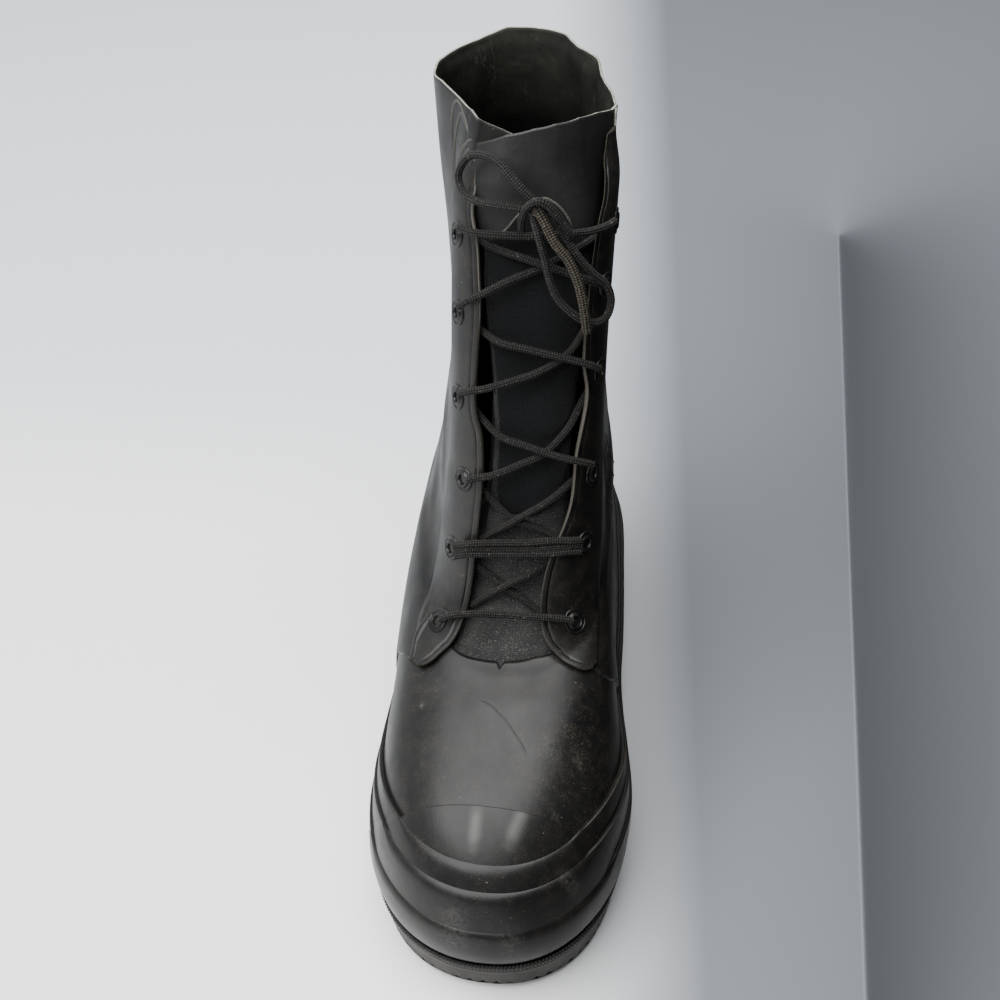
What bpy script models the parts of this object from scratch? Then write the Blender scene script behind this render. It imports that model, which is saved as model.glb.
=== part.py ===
"""Insulated rubber cold-weather boot ("bunny boot"), the wearer's right boot, empty and laced.

Frame: metres, +Z up, the toe points along -Y and the inner (medial) side is +X. The outsole's flat
heel and forefoot stand on z = 0. Tables are in millimetres and become metres where they are read.
"""

from math import cos, pi, sin

import bmesh
import bpy
from mathutils import Vector

MM = 0.001

# ---------------------------------------------------------------- driving sizes, in millimetres
GAP = 0.35  # between pieces that touch
PLY_GAP = 0.6  # between curved plies, whose facets don't line up
AROUND = 48  # columns round the last
PLY = 1.3  # one rubber ply
TOE_SPRING = 6.5
ARCH_RISE = 4.5
GROOVE = 4.0  # depth and width of the grooves between lugs
INSOLE_THICK = 4.5
FACING_THICK = 2.0
LACE = 3.4
EYELET_OUTER = 11.4
EYELET_HOLE = 5.4
EYELET_PROUD = 1.5

# The last: one row for each ring of the upper's outer skin, from the feather edge to the collar.
# back and front: the ring's ends on its long axis (x, y, z). lat and med: half widths at the heel
# third, at the middle and at the front third. heel_at and toe_at: where its round ends begin, as a
# share of its length. toe_power: how square the front end is. wall: the shell's thickness there.
LAST_COLUMNS = (
    "xb", "yb", "zb", "xf", "yf", "zf",
    "lat_b", "lat_m", "lat_f", "med_b", "med_m", "med_f",
    "heel_at", "toe_at", "toe_power", "wall",
)  # fmt: skip
LAST = {
    "feather": (-6, 79.5, 14.0, 5, -231.5, 20.0, 38, 52, 56.5, 37.5, 42, 51.5, 0.21, 0.74, 2.2, 8.0),
    "bulge": (-6, 82, 30.0, 5, -234.5, 32.0, 40, 54, 57.5, 38.5, 43, 52.5, 0.21, 0.74, 2.2, 8.5),
    "side": (-6, 81.5, 44.0, 5, -233, 43.0, 42, 56, 57, 38, 43, 52.5, 0.21, 0.74, 2.2, 8.5),
    "rand": (-6, 78, 61.0, 5, -227.5, 57.0, 44, 57, 56, 36, 43, 51.5, 0.22, 0.73, 2.2, 8.5),
    "shoulder": (-6.5, 73.5, 77, 4.5, -217, 69.5, 45.5, 57, 53.5, 34, 42.5, 48.5, 0.24, 0.72, 2.2, 8.5),
    "cap": (-7, 69, 91.0, 4, -202.5, 79.5, 46, 56, 50.5, 33, 42.5, 45, 0.27, 0.7, 2.2, 8.0),
    "vamp": (-7.5, 66, 104.0, 3, -180, 89.0, 45.5, 54, 47, 32.5, 42, 42, 0.31, 0.68, 2.2, 7.5),
    "instep": (-8, 64, 116.0, 2, -158, 95.0, 44.5, 51.5, 43.5, 32.5, 41, 39.5, 0.35, 0.65, 2.3, 7.0),
    "throat": (-8.5, 63, 128.0, 2, -138, 99.5, 43, 48.5, 40, 32.5, 40, 37.5, 0.38, 0.63, 2.5, 6.5),
    "tie": (-9, 62.5, 142.0, 2, -121, 112, 41, 45, 37.5, 31.5, 38, 36.5, 0.41, 0.62, 2.8, 6.0),
    "ankle": (-9.5, 62.0, 160.0, 2.5, -109, 134, 38.5, 41.5, 35.5, 30.5, 35.5, 35.5, 0.44, 0.62, 3.1, 5.5),
    "shin_1": (-10.5, 62.0, 189, 3, -97.5, 168, 35.5, 37.5, 32.5, 29, 33.5, 33, 0.46, 0.62, 3.2, 4.5),
    "shin_2": (-12, 62.0, 218, 3.5, -85.5, 204, 33, 35, 31.5, 28, 32.5, 32.5, 0.48, 0.62, 3.2, 3.5),
    "shin_3": (-13.5, 61.5, 248, 4, -74, 238, 32, 36, 31.5, 27.5, 32, 33, 0.48, 0.62, 3.1, 2.8),
    "cuff": (-15, 60.5, 278.0, 5, -61, 272, 32.5, 38.5, 31.5, 26, 32.5, 33.5, 0.5, 0.6, 2.8, 2.2),
    "collar": (-16, 60.0, 308.5, 6, -45, 306, 33, 41, 30.5, 24, 32, 33.5, 0.5, 0.58, 2.3, 1.9),
}
HEEL_POWER = 2.2  # the rings' round ends are superellipses
STATIONS = (0.2, 0.48, 0.76)  # where lat and med are measured, from the heel end of a ring
ROWS = list(LAST.values())
LEVEL = {name: number for number, name in enumerate(LAST)}
TOP = len(ROWS) - 1


# ---------------------------------------------------------------- curves through a table's rows
def smooth(values, at):
    """A curve through evenly numbered values (Catmull-Rom), read at a fractional row number."""
    last = len(values) - 1
    at = min(max(at, 0.0), float(last))
    i = min(int(at), last - 1)
    t = at - i
    p1, p2 = values[i], values[i + 1]
    p0 = values[i - 1] if i > 0 else 2 * p1 - p2
    p3 = values[i + 2] if i + 2 <= last else 2 * p2 - p1
    bend = 3 * (p1 - p2) + p3 - p0
    return 0.5 * (2 * p1 + (p2 - p0) * t + (2 * p0 - 5 * p1 + 4 * p2 - p3) * t * t + bend * t**3)


def row_at(rows, columns, at):
    """The table's columns by name, read at a fractional row number."""
    return {name: smooth([row[k] for row in rows], at) for k, name in enumerate(columns)}


def ease(low, high, value):
    t = min(max((value - low) / (high - low), 0.0), 1.0)
    return t * t * (3 - 2 * t)


def mix(a, b, t):
    return a + (b - a) * t


# ---------------------------------------------------------------- the last's outer skin
def end_round(s, ring):
    """1 along a ring's middle and 0 at its two ends."""
    heel = (ring["heel_at"] - s) / ring["heel_at"]
    toe = (s - ring["toe_at"]) / (1 - ring["toe_at"])
    power = HEEL_POWER if heel > toe else ring["toe_power"]
    return max(1 - max(heel, toe, 0.0) ** power, 0.0) ** (1 / power)


def width_at(low, middle, high, ring, s):
    """Half width through the three measured stations, closed at both ends of the ring."""
    a, b, c = STATIONS
    wanted = []
    for station, width in zip(STATIONS, (low, middle, high)):
        wanted.append(width / end_round(station, ring))
    if s <= b:
        body = mix(wanted[0], wanted[1], ease(a - (b - a) * 0.4, b, s))
    else:
        body = mix(wanted[1], wanted[2], ease(b, c + (c - b) * 0.1, s))
    return body * end_round(s, ring)


def last_point(level, turn):
    """A point of the skin in mm. turn runs 0 at the heel, 0.5 at the toe round the outer side."""
    ring = row_at(ROWS, LAST_COLUMNS, level)
    turn = turn % 1.0
    s = (1 - cos(2 * pi * turn)) / 2
    back = Vector((ring["xb"], ring["yb"], ring["zb"]))
    front = Vector((ring["xf"], ring["yf"], ring["zf"]))
    axis = front - back
    across = Vector((-axis.y, axis.x, 0)).normalized()
    if turn < 0.5:
        side = -width_at(ring["lat_b"], ring["lat_m"], ring["lat_f"], ring, s)
    else:
        side = width_at(ring["med_b"], ring["med_m"], ring["med_f"], ring, s)
    return back + axis * s + across * side


def skin(level, turn, out=0.0):
    """The skin moved out along its normal by a distance in mm."""
    here = last_point(level, turn)
    if out == 0.0:
        return here
    step = 0.004
    along = last_point(level, turn + step) - last_point(level, turn - step)
    low, high = max(level - 0.05, 0.0), min(level + 0.05, float(TOP))
    up = last_point(high, turn) - last_point(low, turn)
    return here + along.cross(up).normalized() * out


def level_where(turn, reached):
    """The level at which the rising skin first satisfies reached(point), by bisection."""
    low, high = 0.0, float(TOP)
    for _ in range(30):
        middle = (low + high) / 2
        if reached(last_point(middle, turn)):
            high = middle
        else:
            low = middle
    return high


def level_at_height(turn, height):
    return level_where(turn, lambda point: point.z >= height)


def toe_share(turn):
    """1 at the toe, 0 at the heel."""
    return (1 - cos(2 * pi * turn)) / 2


# ---------------------------------------------------------------- Blender helpers
def clear_scene():
    for old in list(bpy.data.objects):
        bpy.data.objects.remove(old, do_unlink=True)


def collection(name):
    made = bpy.data.collections.new(name)
    bpy.context.scene.collection.children.link(made)
    return made


def material(name, colour, roughness, metallic=0.0):
    made = bpy.data.materials.new(name)
    made.use_nodes = True
    shader = made.node_tree.nodes["Principled BSDF"]
    shader.inputs["Base Color"].default_value = (*colour, 1.0)
    shader.inputs["Roughness"].default_value = roughness
    shader.inputs["Metallic"].default_value = metallic
    return made


def new_object(name, mesh, finish, home):
    made = bpy.data.objects.new(name, mesh)
    if finish:
        mesh.materials.append(finish)
    home.objects.link(made)
    return made


def grid_object(name, rows, finish, home, closed=False, keep=None):
    """A surface through rows of points (mm). keep(row, column) says which faces are made."""
    work = bmesh.new()
    verts = [[work.verts.new(point * MM) for point in row] for row in rows]
    count = len(rows[0])
    for i in range(len(rows) - 1):
        for j in range(count if closed else count - 1):
            if keep and not keep(i, j):
                continue
            k = (j + 1) % count
            work.faces.new((verts[i][j], verts[i][k], verts[i + 1][k], verts[i + 1][j]))
    loose = [vert for vert in work.verts if not vert.link_faces]
    bmesh.ops.delete(work, geom=loose, context="VERTS")
    return mesh_object(name, work, finish, home)


def mesh_object(name, work, finish, home):
    mesh = bpy.data.meshes.new(name)
    work.to_mesh(mesh)
    work.free()
    made = new_object(name, mesh, finish, home)
    mesh.shade_smooth()
    return made


def thicken(target, thickness, offset=-1.0, weights=None):
    """Solidify. weights, one for each vertex, scale the thickness. offset -1 grows inwards."""
    solid = target.modifiers.new("wall", "SOLIDIFY")
    solid.thickness = thickness * MM
    solid.offset = offset
    solid.use_even_offset = False
    if weights:
        group = target.vertex_groups.new(name="wall")
        for index, weight in enumerate(weights):
            group.add([index], weight, "REPLACE")
        solid.vertex_group = "wall"
    return solid


def boolean(target, other, operation):
    made = target.modifiers.new(operation.lower(), "BOOLEAN")
    made.operation = operation
    made.object = other
    made.solver = "EXACT"
    made.use_self = True
    return made


def hide(helper):
    helper.hide_render = True
    helper.display_type = "WIRE"


# ---------------------------------------------------------------- upper
# The throat's two edges, from its lower edge up to the collar: level, turn of the outer edge,
# turn of the inner edge.
THROAT = (
    (8, 0.370, 0.630),
    (10, 0.375, 0.625),
    (11, 0.378, 0.630),
    (12, 0.376, 0.635),
    (13, 0.374, 0.642),
    (13.8, 0.368, 0.672),
    (15, 0.372, 0.664),
)
ACROSS_THROAT = 10  # columns of the skin that cross the front, left out above the throat line


def by_level(rows, level, column):
    """One column of a table whose first column is a level, read between its rows."""
    if level <= rows[0][0]:
        return rows[0][column]
    for low, high in zip(rows, rows[1:]):
        if level <= high[0]:
            return mix(low[column], high[column], (level - low[0]) / (high[0] - low[0]))
    return rows[-1][column]


def front_turns(level):
    return by_level(THROAT, level, 1), by_level(THROAT, level, 2)


def upper_turns(level):
    """The columns of one row: some across the front, the rest round the back."""
    low, high = front_turns(level)
    across = [mix(low, high, k / ACROSS_THROAT) for k in range(ACROSS_THROAT)]
    rest = AROUND - ACROSS_THROAT
    behind = [mix(high, 1 + low, k / rest) for k in range(rest)]
    return across + behind


def build_upper(finish, home):
    foot = [0, 1, 2, 3, 4, 4.5, 5, 5.5, 6, 6.5, 7, 7.5, LEVEL["throat"]]
    levels = foot + [8.5, 9, 10, 11, 12, 13, 13.8, TOP]
    throat_row = len(foot) - 1
    rows = [[skin(level, turn) for turn in upper_turns(level)] for level in levels]
    made = grid_object(
        "upper", rows, finish, home, closed=True,
        keep=lambda i, j: i < throat_row or j >= ACROSS_THROAT,
    )  # fmt: skip
    walls = []
    for i, level in enumerate(levels):
        wall = row_at(ROWS, LAST_COLUMNS, level)["wall"]
        kept = AROUND if i <= throat_row else AROUND - ACROSS_THROAT + 1
        walls += [wall] * kept
    thickest = max(walls)
    thicken(made, thickest, -1.0, [wall / thickest for wall in walls])
    return made


# ---------------------------------------------------------------- sole and insole
def sole_floor(s):
    """Height of the tread above the floor: flat heel, arch, flat forefoot, toe spring."""
    arch = ARCH_RISE * ease(0.31, 0.36, s) * (1 - ease(0.44, 0.56, s))
    return arch + TOE_SPRING * ease(0.78, 1.06, s) ** 1.2


def sole_top(s):
    ring = row_at(ROWS, LAST_COLUMNS, 0)
    return mix(ring["zb"], ring["zf"], s) - GAP


def plate(name, finish, home, layers, inset_from):
    """A solid between flat-across layers; each layer is (outward distance, height function)."""
    half = AROUND // 2
    work = bmesh.new()
    rings = []
    for out, height in layers:
        ring = []
        for k in range(AROUND):
            turn = k / AROUND
            point = skin(inset_from, turn, out)
            point.z = height(toe_share(turn))
            ring.append(work.verts.new(point * MM))
        rings.append(ring)
    for lower, upper in zip(rings, rings[1:]):
        for k in range(AROUND):
            n = (k + 1) % AROUND
            work.faces.new((lower[k], lower[n], upper[n], upper[k]))
    for ring, up in ((rings[0], False), (rings[-1], True)):
        for k in range(half):
            near, far = (ring[k], ring[k + 1]), (ring[-k], ring[-k - 1])
            corners = [near[0], near[1], far[1], far[0]]
            corners = list(dict.fromkeys(corners))
            work.faces.new(corners if up else corners[::-1])
    bmesh.ops.recalc_face_normals(work, faces=work.faces)
    return mesh_object(name, work, finish, home)


def bar(work, centre, size, turn_z):
    """A box cutter in mm."""
    made = bmesh.ops.create_cube(work, size=1.0)["verts"]
    for vert in made:
        x, y = vert.co.x * size[0], vert.co.y * size[1]
        vert.co = Vector((
            centre[0] + x * cos(turn_z) - y * sin(turn_z),
            centre[1] + x * sin(turn_z) + y * cos(turn_z),
            centre[2] + vert.co.z * size[2],
        )) * MM  # fmt: skip


CROSS_GROOVES = (48, 33, 18, -75, -89, -103, -117, -131, -145, -159, -173, -187)
EDGE_NOTCHES = 34


def sole_height_at(y):
    ring = row_at(ROWS, LAST_COLUMNS, 0)
    return sole_floor((ring["yb"] - y) / (ring["yb"] - ring["yf"]))


def build_outsole(finish, home, cutters):
    made = plate(
        "outsole", finish, home,
        [(1.6, sole_floor), (2.6, lambda s: sole_floor(s) + 1.5),
         (2.8, lambda s: mix(sole_floor(s), sole_top(s), 0.6)), (2.8, sole_top)],
        0.0,
    )  # fmt: skip
    work = bmesh.new()
    for y in CROSS_GROOVES:
        wide = 60 if y > 0 else 84
        bar(work, (0, y, sole_height_at(y)), (wide, GROOVE, 2 * GROOVE), 0.0)
    for k in range(EDGE_NOTCHES):
        turn = 0.5 + 0.40 * (2 * (k + 0.5) / EDGE_NOTCHES - 1)
        edge = skin(0, turn, 1.5)
        inner = skin(0, turn, -4.0)
        away = (edge - inner).xy
        heading = Vector((1, 0)).angle_signed(away)
        centre = (edge.x, edge.y, sole_floor(toe_share(turn)))
        bar(work, centre, (11, 3.2, 2 * GROOVE - 1), -heading)
    cutter = mesh_object("sole_cutter", work, None, cutters)
    hide(cutter)
    boolean(made, cutter, "DIFFERENCE")
    return made


def build_insole(finish, home):
    wall = row_at(ROWS, LAST_COLUMNS, 0.5)["wall"]
    inset = -(wall + 1.8)
    return plate(
        "insole", finish, home,
        [(inset, lambda s: sole_top(s) + PLY_GAP),
         (inset, lambda s: sole_top(s) + PLY_GAP + INSOLE_THICK)],
        0.3,
    )  # fmt: skip


# ---------------------------------------------------------------- stepped rubber plies
PLY_STEP = 0.03  # the gap in levels between one ply's upper edge and the next ply
FOXING_FOOT = 0.1  # the level of the foxing's lower edge, just over the outsole
# Upper edge of each ply: height in mm at the toe, the waist and the heel.
PLY_EDGES = {
    "foxing": (45.0, 37.0, 43.0),
    "bumper_middle": (60.5, 46.0, 53.0),
    "bumper_upper": (68.5, 54.0, 63.0),
}


def ply_level(turn, toe, waist, heel):
    s = toe_share(turn)
    height = mix(waist, toe, ease(0.55, 0.97, s)) if s > 0.45 else mix(heel, waist, ease(0.05, 0.42, s))
    return level_at_height(turn, height)


def band(name, lower, upper, thick, finish, home):
    """A closed strip on the skin between two functions of the turn that give levels."""
    steps = (0.0, 0.5, 1.0)
    turns = upper_turns(0)
    rows = []
    for step in steps:
        row = []
        for turn in turns:
            low, high = lower(turn), upper(turn)
            row.append(skin(mix(low, high, step), turn, PLY_GAP))
        rows.append(row)
    made = grid_object(name, rows, finish, home, closed=True)
    thicken(made, thick, 1.0)
    return made


def build_plies(finish, home):
    below = None
    made = []
    for number, (name, edge) in enumerate(PLY_EDGES.items()):
        upper = lambda turn, edge=edge: ply_level(turn, *edge)  # noqa: E731
        if below is None:
            lower = lambda turn: FOXING_FOOT  # noqa: E731
        else:
            lower = lambda turn, edge=below: ply_level(turn, *edge) + PLY_STEP  # noqa: E731
        made.append(band(name, lower, upper, PLY * (3 - number), finish, home))
        below = edge
    return made


# ---------------------------------------------------------------- toe cap
CAP_LINE = -199.5  # y of the toe cap's straight rear edge
CAP_THICK = 0.9


def build_toe_cap(finish, home):
    edge = PLY_EDGES["bumper_upper"]
    turns = [turn for turn in upper_turns(0) if 0.38 < turn < 0.62]
    rows = []
    for step in (0.0, 0.33, 0.67, 1.0):
        row = []
        for turn in turns:
            low = ply_level(turn, *edge) + PLY_STEP
            high = level_where(turn, lambda point: point.y >= CAP_LINE)
            row.append(skin(mix(low, max(high, low + 0.1), step), turn, PLY_GAP))
        rows.append(row)
    made = grid_object("toe_cap", rows, finish, home)
    thicken(made, CAP_THICK, 1.0)
    return made


# ---------------------------------------------------------------- tongue and gusset
# The tongue lies under the skin's open front: its two side edges as turns, how far its face stands
# out (minus is inwards) at the outer side, the middle and the inner side, and its thickness.
TONGUE = (
    (8.05, 0.386, 0.614, -3.2, -2.0, -3.2, 5.0),
    (9, 0.395, 0.605, -6.0, -3.5, -6.0, 5.0),
    (10, 0.400, 0.600, -8.5, -5.2, -8.5, 5.0),
    (11, 0.400, 0.602, -9.0, -5.2, -9.0, 5.0),
    (12, 0.400, 0.605, -9.0, -5.2, -9.0, 4.5),
    (13, 0.400, 0.610, -7.5, -5.2, -7.5, 3.0),
    (13.6, 0.402, 0.625, -5.0, -5.2, -5.0, 1.9),
    (14, 0.402, 0.635, -3.0, -5.4, -4.0, 1.9),
    (14.5, 0.402, 0.645, 1.0, -7.0, -2.0, 1.9),
    (15, 0.400, 0.655, 4.0, -8.5, -1.0, 1.9),
)
TONGUE_LEVELS = (8.05, 8.5, 9, 10, 11, 12, 13, 13.6, 14, 14.5, 15)
TONGUE_ACROSS = 8
TONGUE_RIM = 1.9  # thickness at its two sides


def tongue_point(level, across):
    left, right, out_left, out_mid, out_right = (by_level(TONGUE, level, k) for k in range(1, 6))
    out = (
        out_left * (1 - across) * (1 - 2 * across)
        + out_mid * 4 * across * (1 - across)
        + out_right * across * (2 * across - 1)
    )
    return skin(level, mix(left, right, across), out)


def build_tongue(finish, home):
    shares = [k / TONGUE_ACROSS for k in range(TONGUE_ACROSS + 1)]
    rows = [[tongue_point(level, share) for share in shares] for level in TONGUE_LEVELS]
    made = grid_object("tongue", rows, finish, home)
    thickest = max(row[6] for row in TONGUE)
    weights = []
    for level in TONGUE_LEVELS:
        thick = by_level(TONGUE, level, 6)
        for share in shares:
            rim = ease(0.0, 0.25, min(share, 1 - share))
            weights.append(mix(TONGUE_RIM, thick, rim) / thickest)
    thicken(made, thickest, -1.0, weights)
    return made


# The bellows fold on the outer side, from the shell's edge to behind the tongue's smooth panel:
# level, turn of its hidden end, how far in that end lies.
GUSSET = (
    (13.4, 0.424, -12.5),
    (13.8, 0.427, -11.0),
    (14.4, 0.432, -8.5),
    (15, 0.436, -6.0),
)
GUSSET_THICK = 1.7


def build_gusset(finish, home):
    rows = []
    for level, end, depth in GUSSET:
        start = front_turns(level)[0] + 0.007
        shares = [k / 4 for k in range(5)]
        rows.append(
            [skin(level, mix(start, end, share), depth * share * (2 - share)) for share in shares]
        )
    made = grid_object("gusset_lateral", rows, finish, home)
    thicken(made, GUSSET_THICK, -1.0)
    return made


# ---------------------------------------------------------------- facings and eyelets
# Each lace stay is a patch just outside the skin: level, turn of its root line, turn of its free
# edge, how far the free edge lifts.
FACINGS = {
    "facing_lateral": (
        (6.5, 0.368, 0.377, 1.0),
        (6.7, 0.358, 0.388, 1.0),
        (7.05, 0.348, 0.401, 1.0),
        (7.6, 0.341, 0.415, 1.0),
        (8.3, 0.338, 0.435, 1.0),
        (9, 0.337, 0.450, 0.8),
        (9.7, 0.343, 0.459, 0.8),
        (10.4, 0.348, 0.463, 0.8),
        (11.1, 0.350, 0.466, 0.8),
        (11.6, 0.350, 0.462, 0.8),
        (12, 0.350, 0.449, 0.8),
        (13, 0.345, 0.447, 0.8),
        (13.8, 0.335, 0.436, 0.8),
        (14.4, 0.330, 0.422, 2.6),
        (14.9, 0.325, 0.406, 4.6),
    ),
    "facing_medial": (
        (6.7, 0.632, 0.620, 1.0),
        (6.95, 0.643, 0.606, 1.0),
        (7.4, 0.652, 0.586, 1.0),
        (8.1, 0.658, 0.554, 1.0),
        (8.6, 0.660, 0.532, 1.0),
        (9.1, 0.662, 0.522, 0.8),
        (9.7, 0.662, 0.519, 0.8),
        (10.2, 0.662, 0.526, 0.8),
        (10.8, 0.664, 0.551, 0.8),
        (11.4, 0.666, 0.558, 0.8),
        (12, 0.668, 0.573, 0.8),
        (12.5, 0.674, 0.563, 0.8),
        (13.3, 0.690, 0.570, 0.8),
        (13.9, 0.705, 0.578, 0.8),
        (14.5, 0.705, 0.600, 0.8),
        (14.9, 0.700, 0.622, 0.8),
    ),
}
FACING_ACROSS = 4
EYELET_SEAT = 0.7  # from a stay's face to the underside of a ring
EYELETS = {
    "facing_lateral": (
        (8.10, 0.397), (9.96, 0.418), (11.0, 0.433), (11.9, 0.409), (12.93, 0.402), (13.80, 0.385),
    ),
    "facing_medial": (
        (8.65, 0.576), (10.14, 0.578), (10.96, 0.594), (12.17, 0.603), (13.20, 0.607), (13.78, 0.645),
    ),
}  # fmt: skip


def facing_under(side, level, turn):
    """How far the underside of a lace stay stands out of the skin."""
    root, edge, lift = (by_level(FACINGS[side], level, k) for k in (1, 2, 3))
    share = min(max((turn - root) / (edge - root), 0.0), 1.0)
    return PLY_GAP + lift * ease(0.0, 1.0, share)


def near_on_skin(level, turn, out, aside, along):
    """Level and turn of the place a few mm aside and along the face `out` mm off the skin."""
    half_level, half_turn = 0.25, 0.02
    turn_way = skin(level, turn + half_turn, out) - skin(level, turn - half_turn, out)
    level_way = skin(level + half_level, turn, out) - skin(level - half_level, turn, out)
    across = turn_way.normalized()
    up_skin = (level_way - level_way.dot(across) * across).normalized()
    level_share = along / level_way.dot(up_skin)
    turn_share = (aside - level_share * level_way.dot(across)) / turn_way.length
    return level + level_share * 2 * half_level, turn + turn_share * 2 * half_turn


def build_facing(name, finish, home, cutters):
    rows = []
    for level, root, edge, _lift in FACINGS[name]:
        row = []
        for k in range(FACING_ACROSS + 1):
            turn = mix(root, edge, k / FACING_ACROSS)
            row.append(skin(level, turn, facing_under(name, level, turn)))
        rows.append(row if root < edge else row[::-1])
    made = grid_object(name, rows, finish, home)
    thicken(made, FACING_THICK, 1.0)
    work = bmesh.new()
    for level, turn in EYELETS[name]:
        bottom, top = skin(level, turn, -2.0), skin(level, turn, 8.0)
        drill = bmesh.ops.create_cone(
            work, cap_ends=True, segments=8,
            radius1=EYELET_HOLE / 2 * MM, radius2=EYELET_HOLE / 2 * MM, depth=10 * MM,
        )["verts"]  # fmt: skip
        aim = (top - bottom).to_track_quat("Z", "Y")
        for vert in drill:
            vert.co = aim @ vert.co + (top + bottom) / 2 * MM
    cutter = mesh_object(name + "_holes", work, None, cutters)
    hide(cutter)
    boolean(made, cutter, "DIFFERENCE")
    return made


def build_eyelets(side, finish, home):
    """Low domed rings seated on a lace stay, bent to its curve."""
    wide = (EYELET_OUTER - EYELET_HOLE) / 4
    middle = (EYELET_OUTER + EYELET_HOLE) / 4
    for number, (level, turn) in enumerate(EYELETS[side], 1):
        bpy.ops.mesh.primitive_torus_add(
            major_segments=10, minor_segments=4, major_radius=middle * MM, minor_radius=wide * MM
        )
        ring = bpy.context.object
        ring.name = f"eyelet_{side.split('_')[1]}_{number}"
        for vert in ring.data.vertices:
            aside, along, rise = vert.co / MM
            height = EYELET_SEAT + (rise / wide + 1) / 2 * EYELET_PROUD
            place = near_on_skin(level, turn, FACING_THICK + EYELET_PROUD, aside, along)
            vert.co = skin(*place, facing_under(side, *place) + FACING_THICK + height) * MM
        ring.data.materials.append(finish)
        ring.data.shade_smooth()
        bpy.ops.object.mode_set(mode="EDIT")
        bpy.ops.mesh.select_all(action="SELECT")
        bpy.ops.mesh.normals_make_consistent(inside=False)
        bpy.ops.object.mode_set(mode="OBJECT")
        for old in list(ring.users_collection):
            old.objects.unlink(ring)
        home.objects.link(ring)


# ---------------------------------------------------------------- laces
# Routes of the cord's middle line in millimetres. Strands of one piece are joined where they cross.
LACE_BARS = {
    "lace_bar_1": [[
        (-32, -122.7, 110.2), (-25, -123, 114.5), (-15.5, -123, 116.5), (-2.5, -121.8, 116.3),
        (12, -122.7, 117.5), (22, -122, 117.3), (29, -120.5, 114.8),
    ]],
    "lace_cross_1_2": [
        [(-23.5, -101, 131), (-16, -107, 130.5), (-7, -111.5, 127), (2.5, -114, 121.5),
         (11.5, -116, 115.2), (15, -117, 113.3)],
        [(24, -99, 136.5), (15.5, -105.5, 134.5), (6.5, -111.5, 131), (-3.5, -114.5, 126),
         (-14.5, -115.4, 117), (-18.5, -115.4, 113.8)],
    ],
    "lace_bar_2_upper": [[
        (-26.5, -107.5, 142), (-18.5, -110, 146), (-7, -108.5, 146.5), (6, -107.5, 147),
        (17.5, -107, 149), (24.5, -106, 149), (30.3, -103, 147),
    ]],
    "lace_bar_2_lower": [[
        (-25.5, -110, 138), (-18.5, -111.3, 141.3), (-6.5, -110.3, 141.5), (6, -109.3, 142),
        (18, -109, 143.5), (24.5, -107.7, 144), (30.3, -104.6, 142.3),
    ]],
    "lace_cross_2_3": [
        [(-18, -92.5, 166), (-11.5, -97, 163), (-1.5, -101, 155.5), (9.5, -101.5, 151),
         (19, -100, 144.5), (24.5, -97, 140)],
        [(28, -80, 167), (23.5, -89, 167.5), (15, -98.5, 164), (1.5, -103, 156),
         (-10, -103, 146.5), (-18, -102, 139.5)],
    ],
    "lace_cross_3_4": [
        [(-20.5, -100.7, 174), (-14.5, -100.5, 176), (-7.5, -99.5, 177.5), (2.5, -96, 181),
         (13, -91.5, 185), (21.5, -83, 192), (26.5, -72.5, 199.5), (29, -64.5, 201.5)],
        [(33.5, -87, 176.5), (27, -92, 182), (18.5, -93.5, 185), (6.5, -93, 188.5),
         (-6, -91, 191.5), (-15, -85, 196), (-20.5, -79, 198.5)],
    ],
    "lace_cross_4_5": [
        [(-25, -85.3, 208), (-18.5, -87.5, 212), (-12.5, -87.5, 213.5), (0.5, -84.5, 217),
         (10.5, -81.7, 220.5), (20.5, -75, 224.8), (26, -65.4, 230.2), (29, -56, 235.5)],
        [(34.5, -72.5, 216.5), (28.5, -76.7, 221.8), (17, -78.6, 225.8), (5, -79, 228.6),
         (-7, -78, 230.5), (-15, -73, 232), (-21, -67, 232.5)],
    ],
    "lace_cross_5_6": [
        [(-25.5, -73.5, 243.5), (-20, -74.7, 248.5), (-14, -74, 251.5), (-3.5, -71, 256.5),
         (7.5, -66, 259.5), (18, -59.5, 263), (26.5, -50.5, 264.5), (30, -42, 264)],
        [(34.5, -61, 250.5), (29, -65.5, 255), (21, -67, 258.5), (12, -67, 261.5),
         (1, -65.5, 264), (-10.5, -62, 265.5), (-18.5, -57.5, 266)],
    ],
    "lace_bar_6": [[
        (-26.4, -60.4, 273.6), (-19.5, -64.5, 274), (-11.5, -65.5, 274), (-4, -65.5, 274),
        (4, -65, 274), (12, -63.5, 274), (20, -61.5, 274), (27.5, -58, 273.5), (33.5, -52.5, 273),
        (37.5, -47.5, 273.5),
    ]],
}  # fmt: skip
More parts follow.
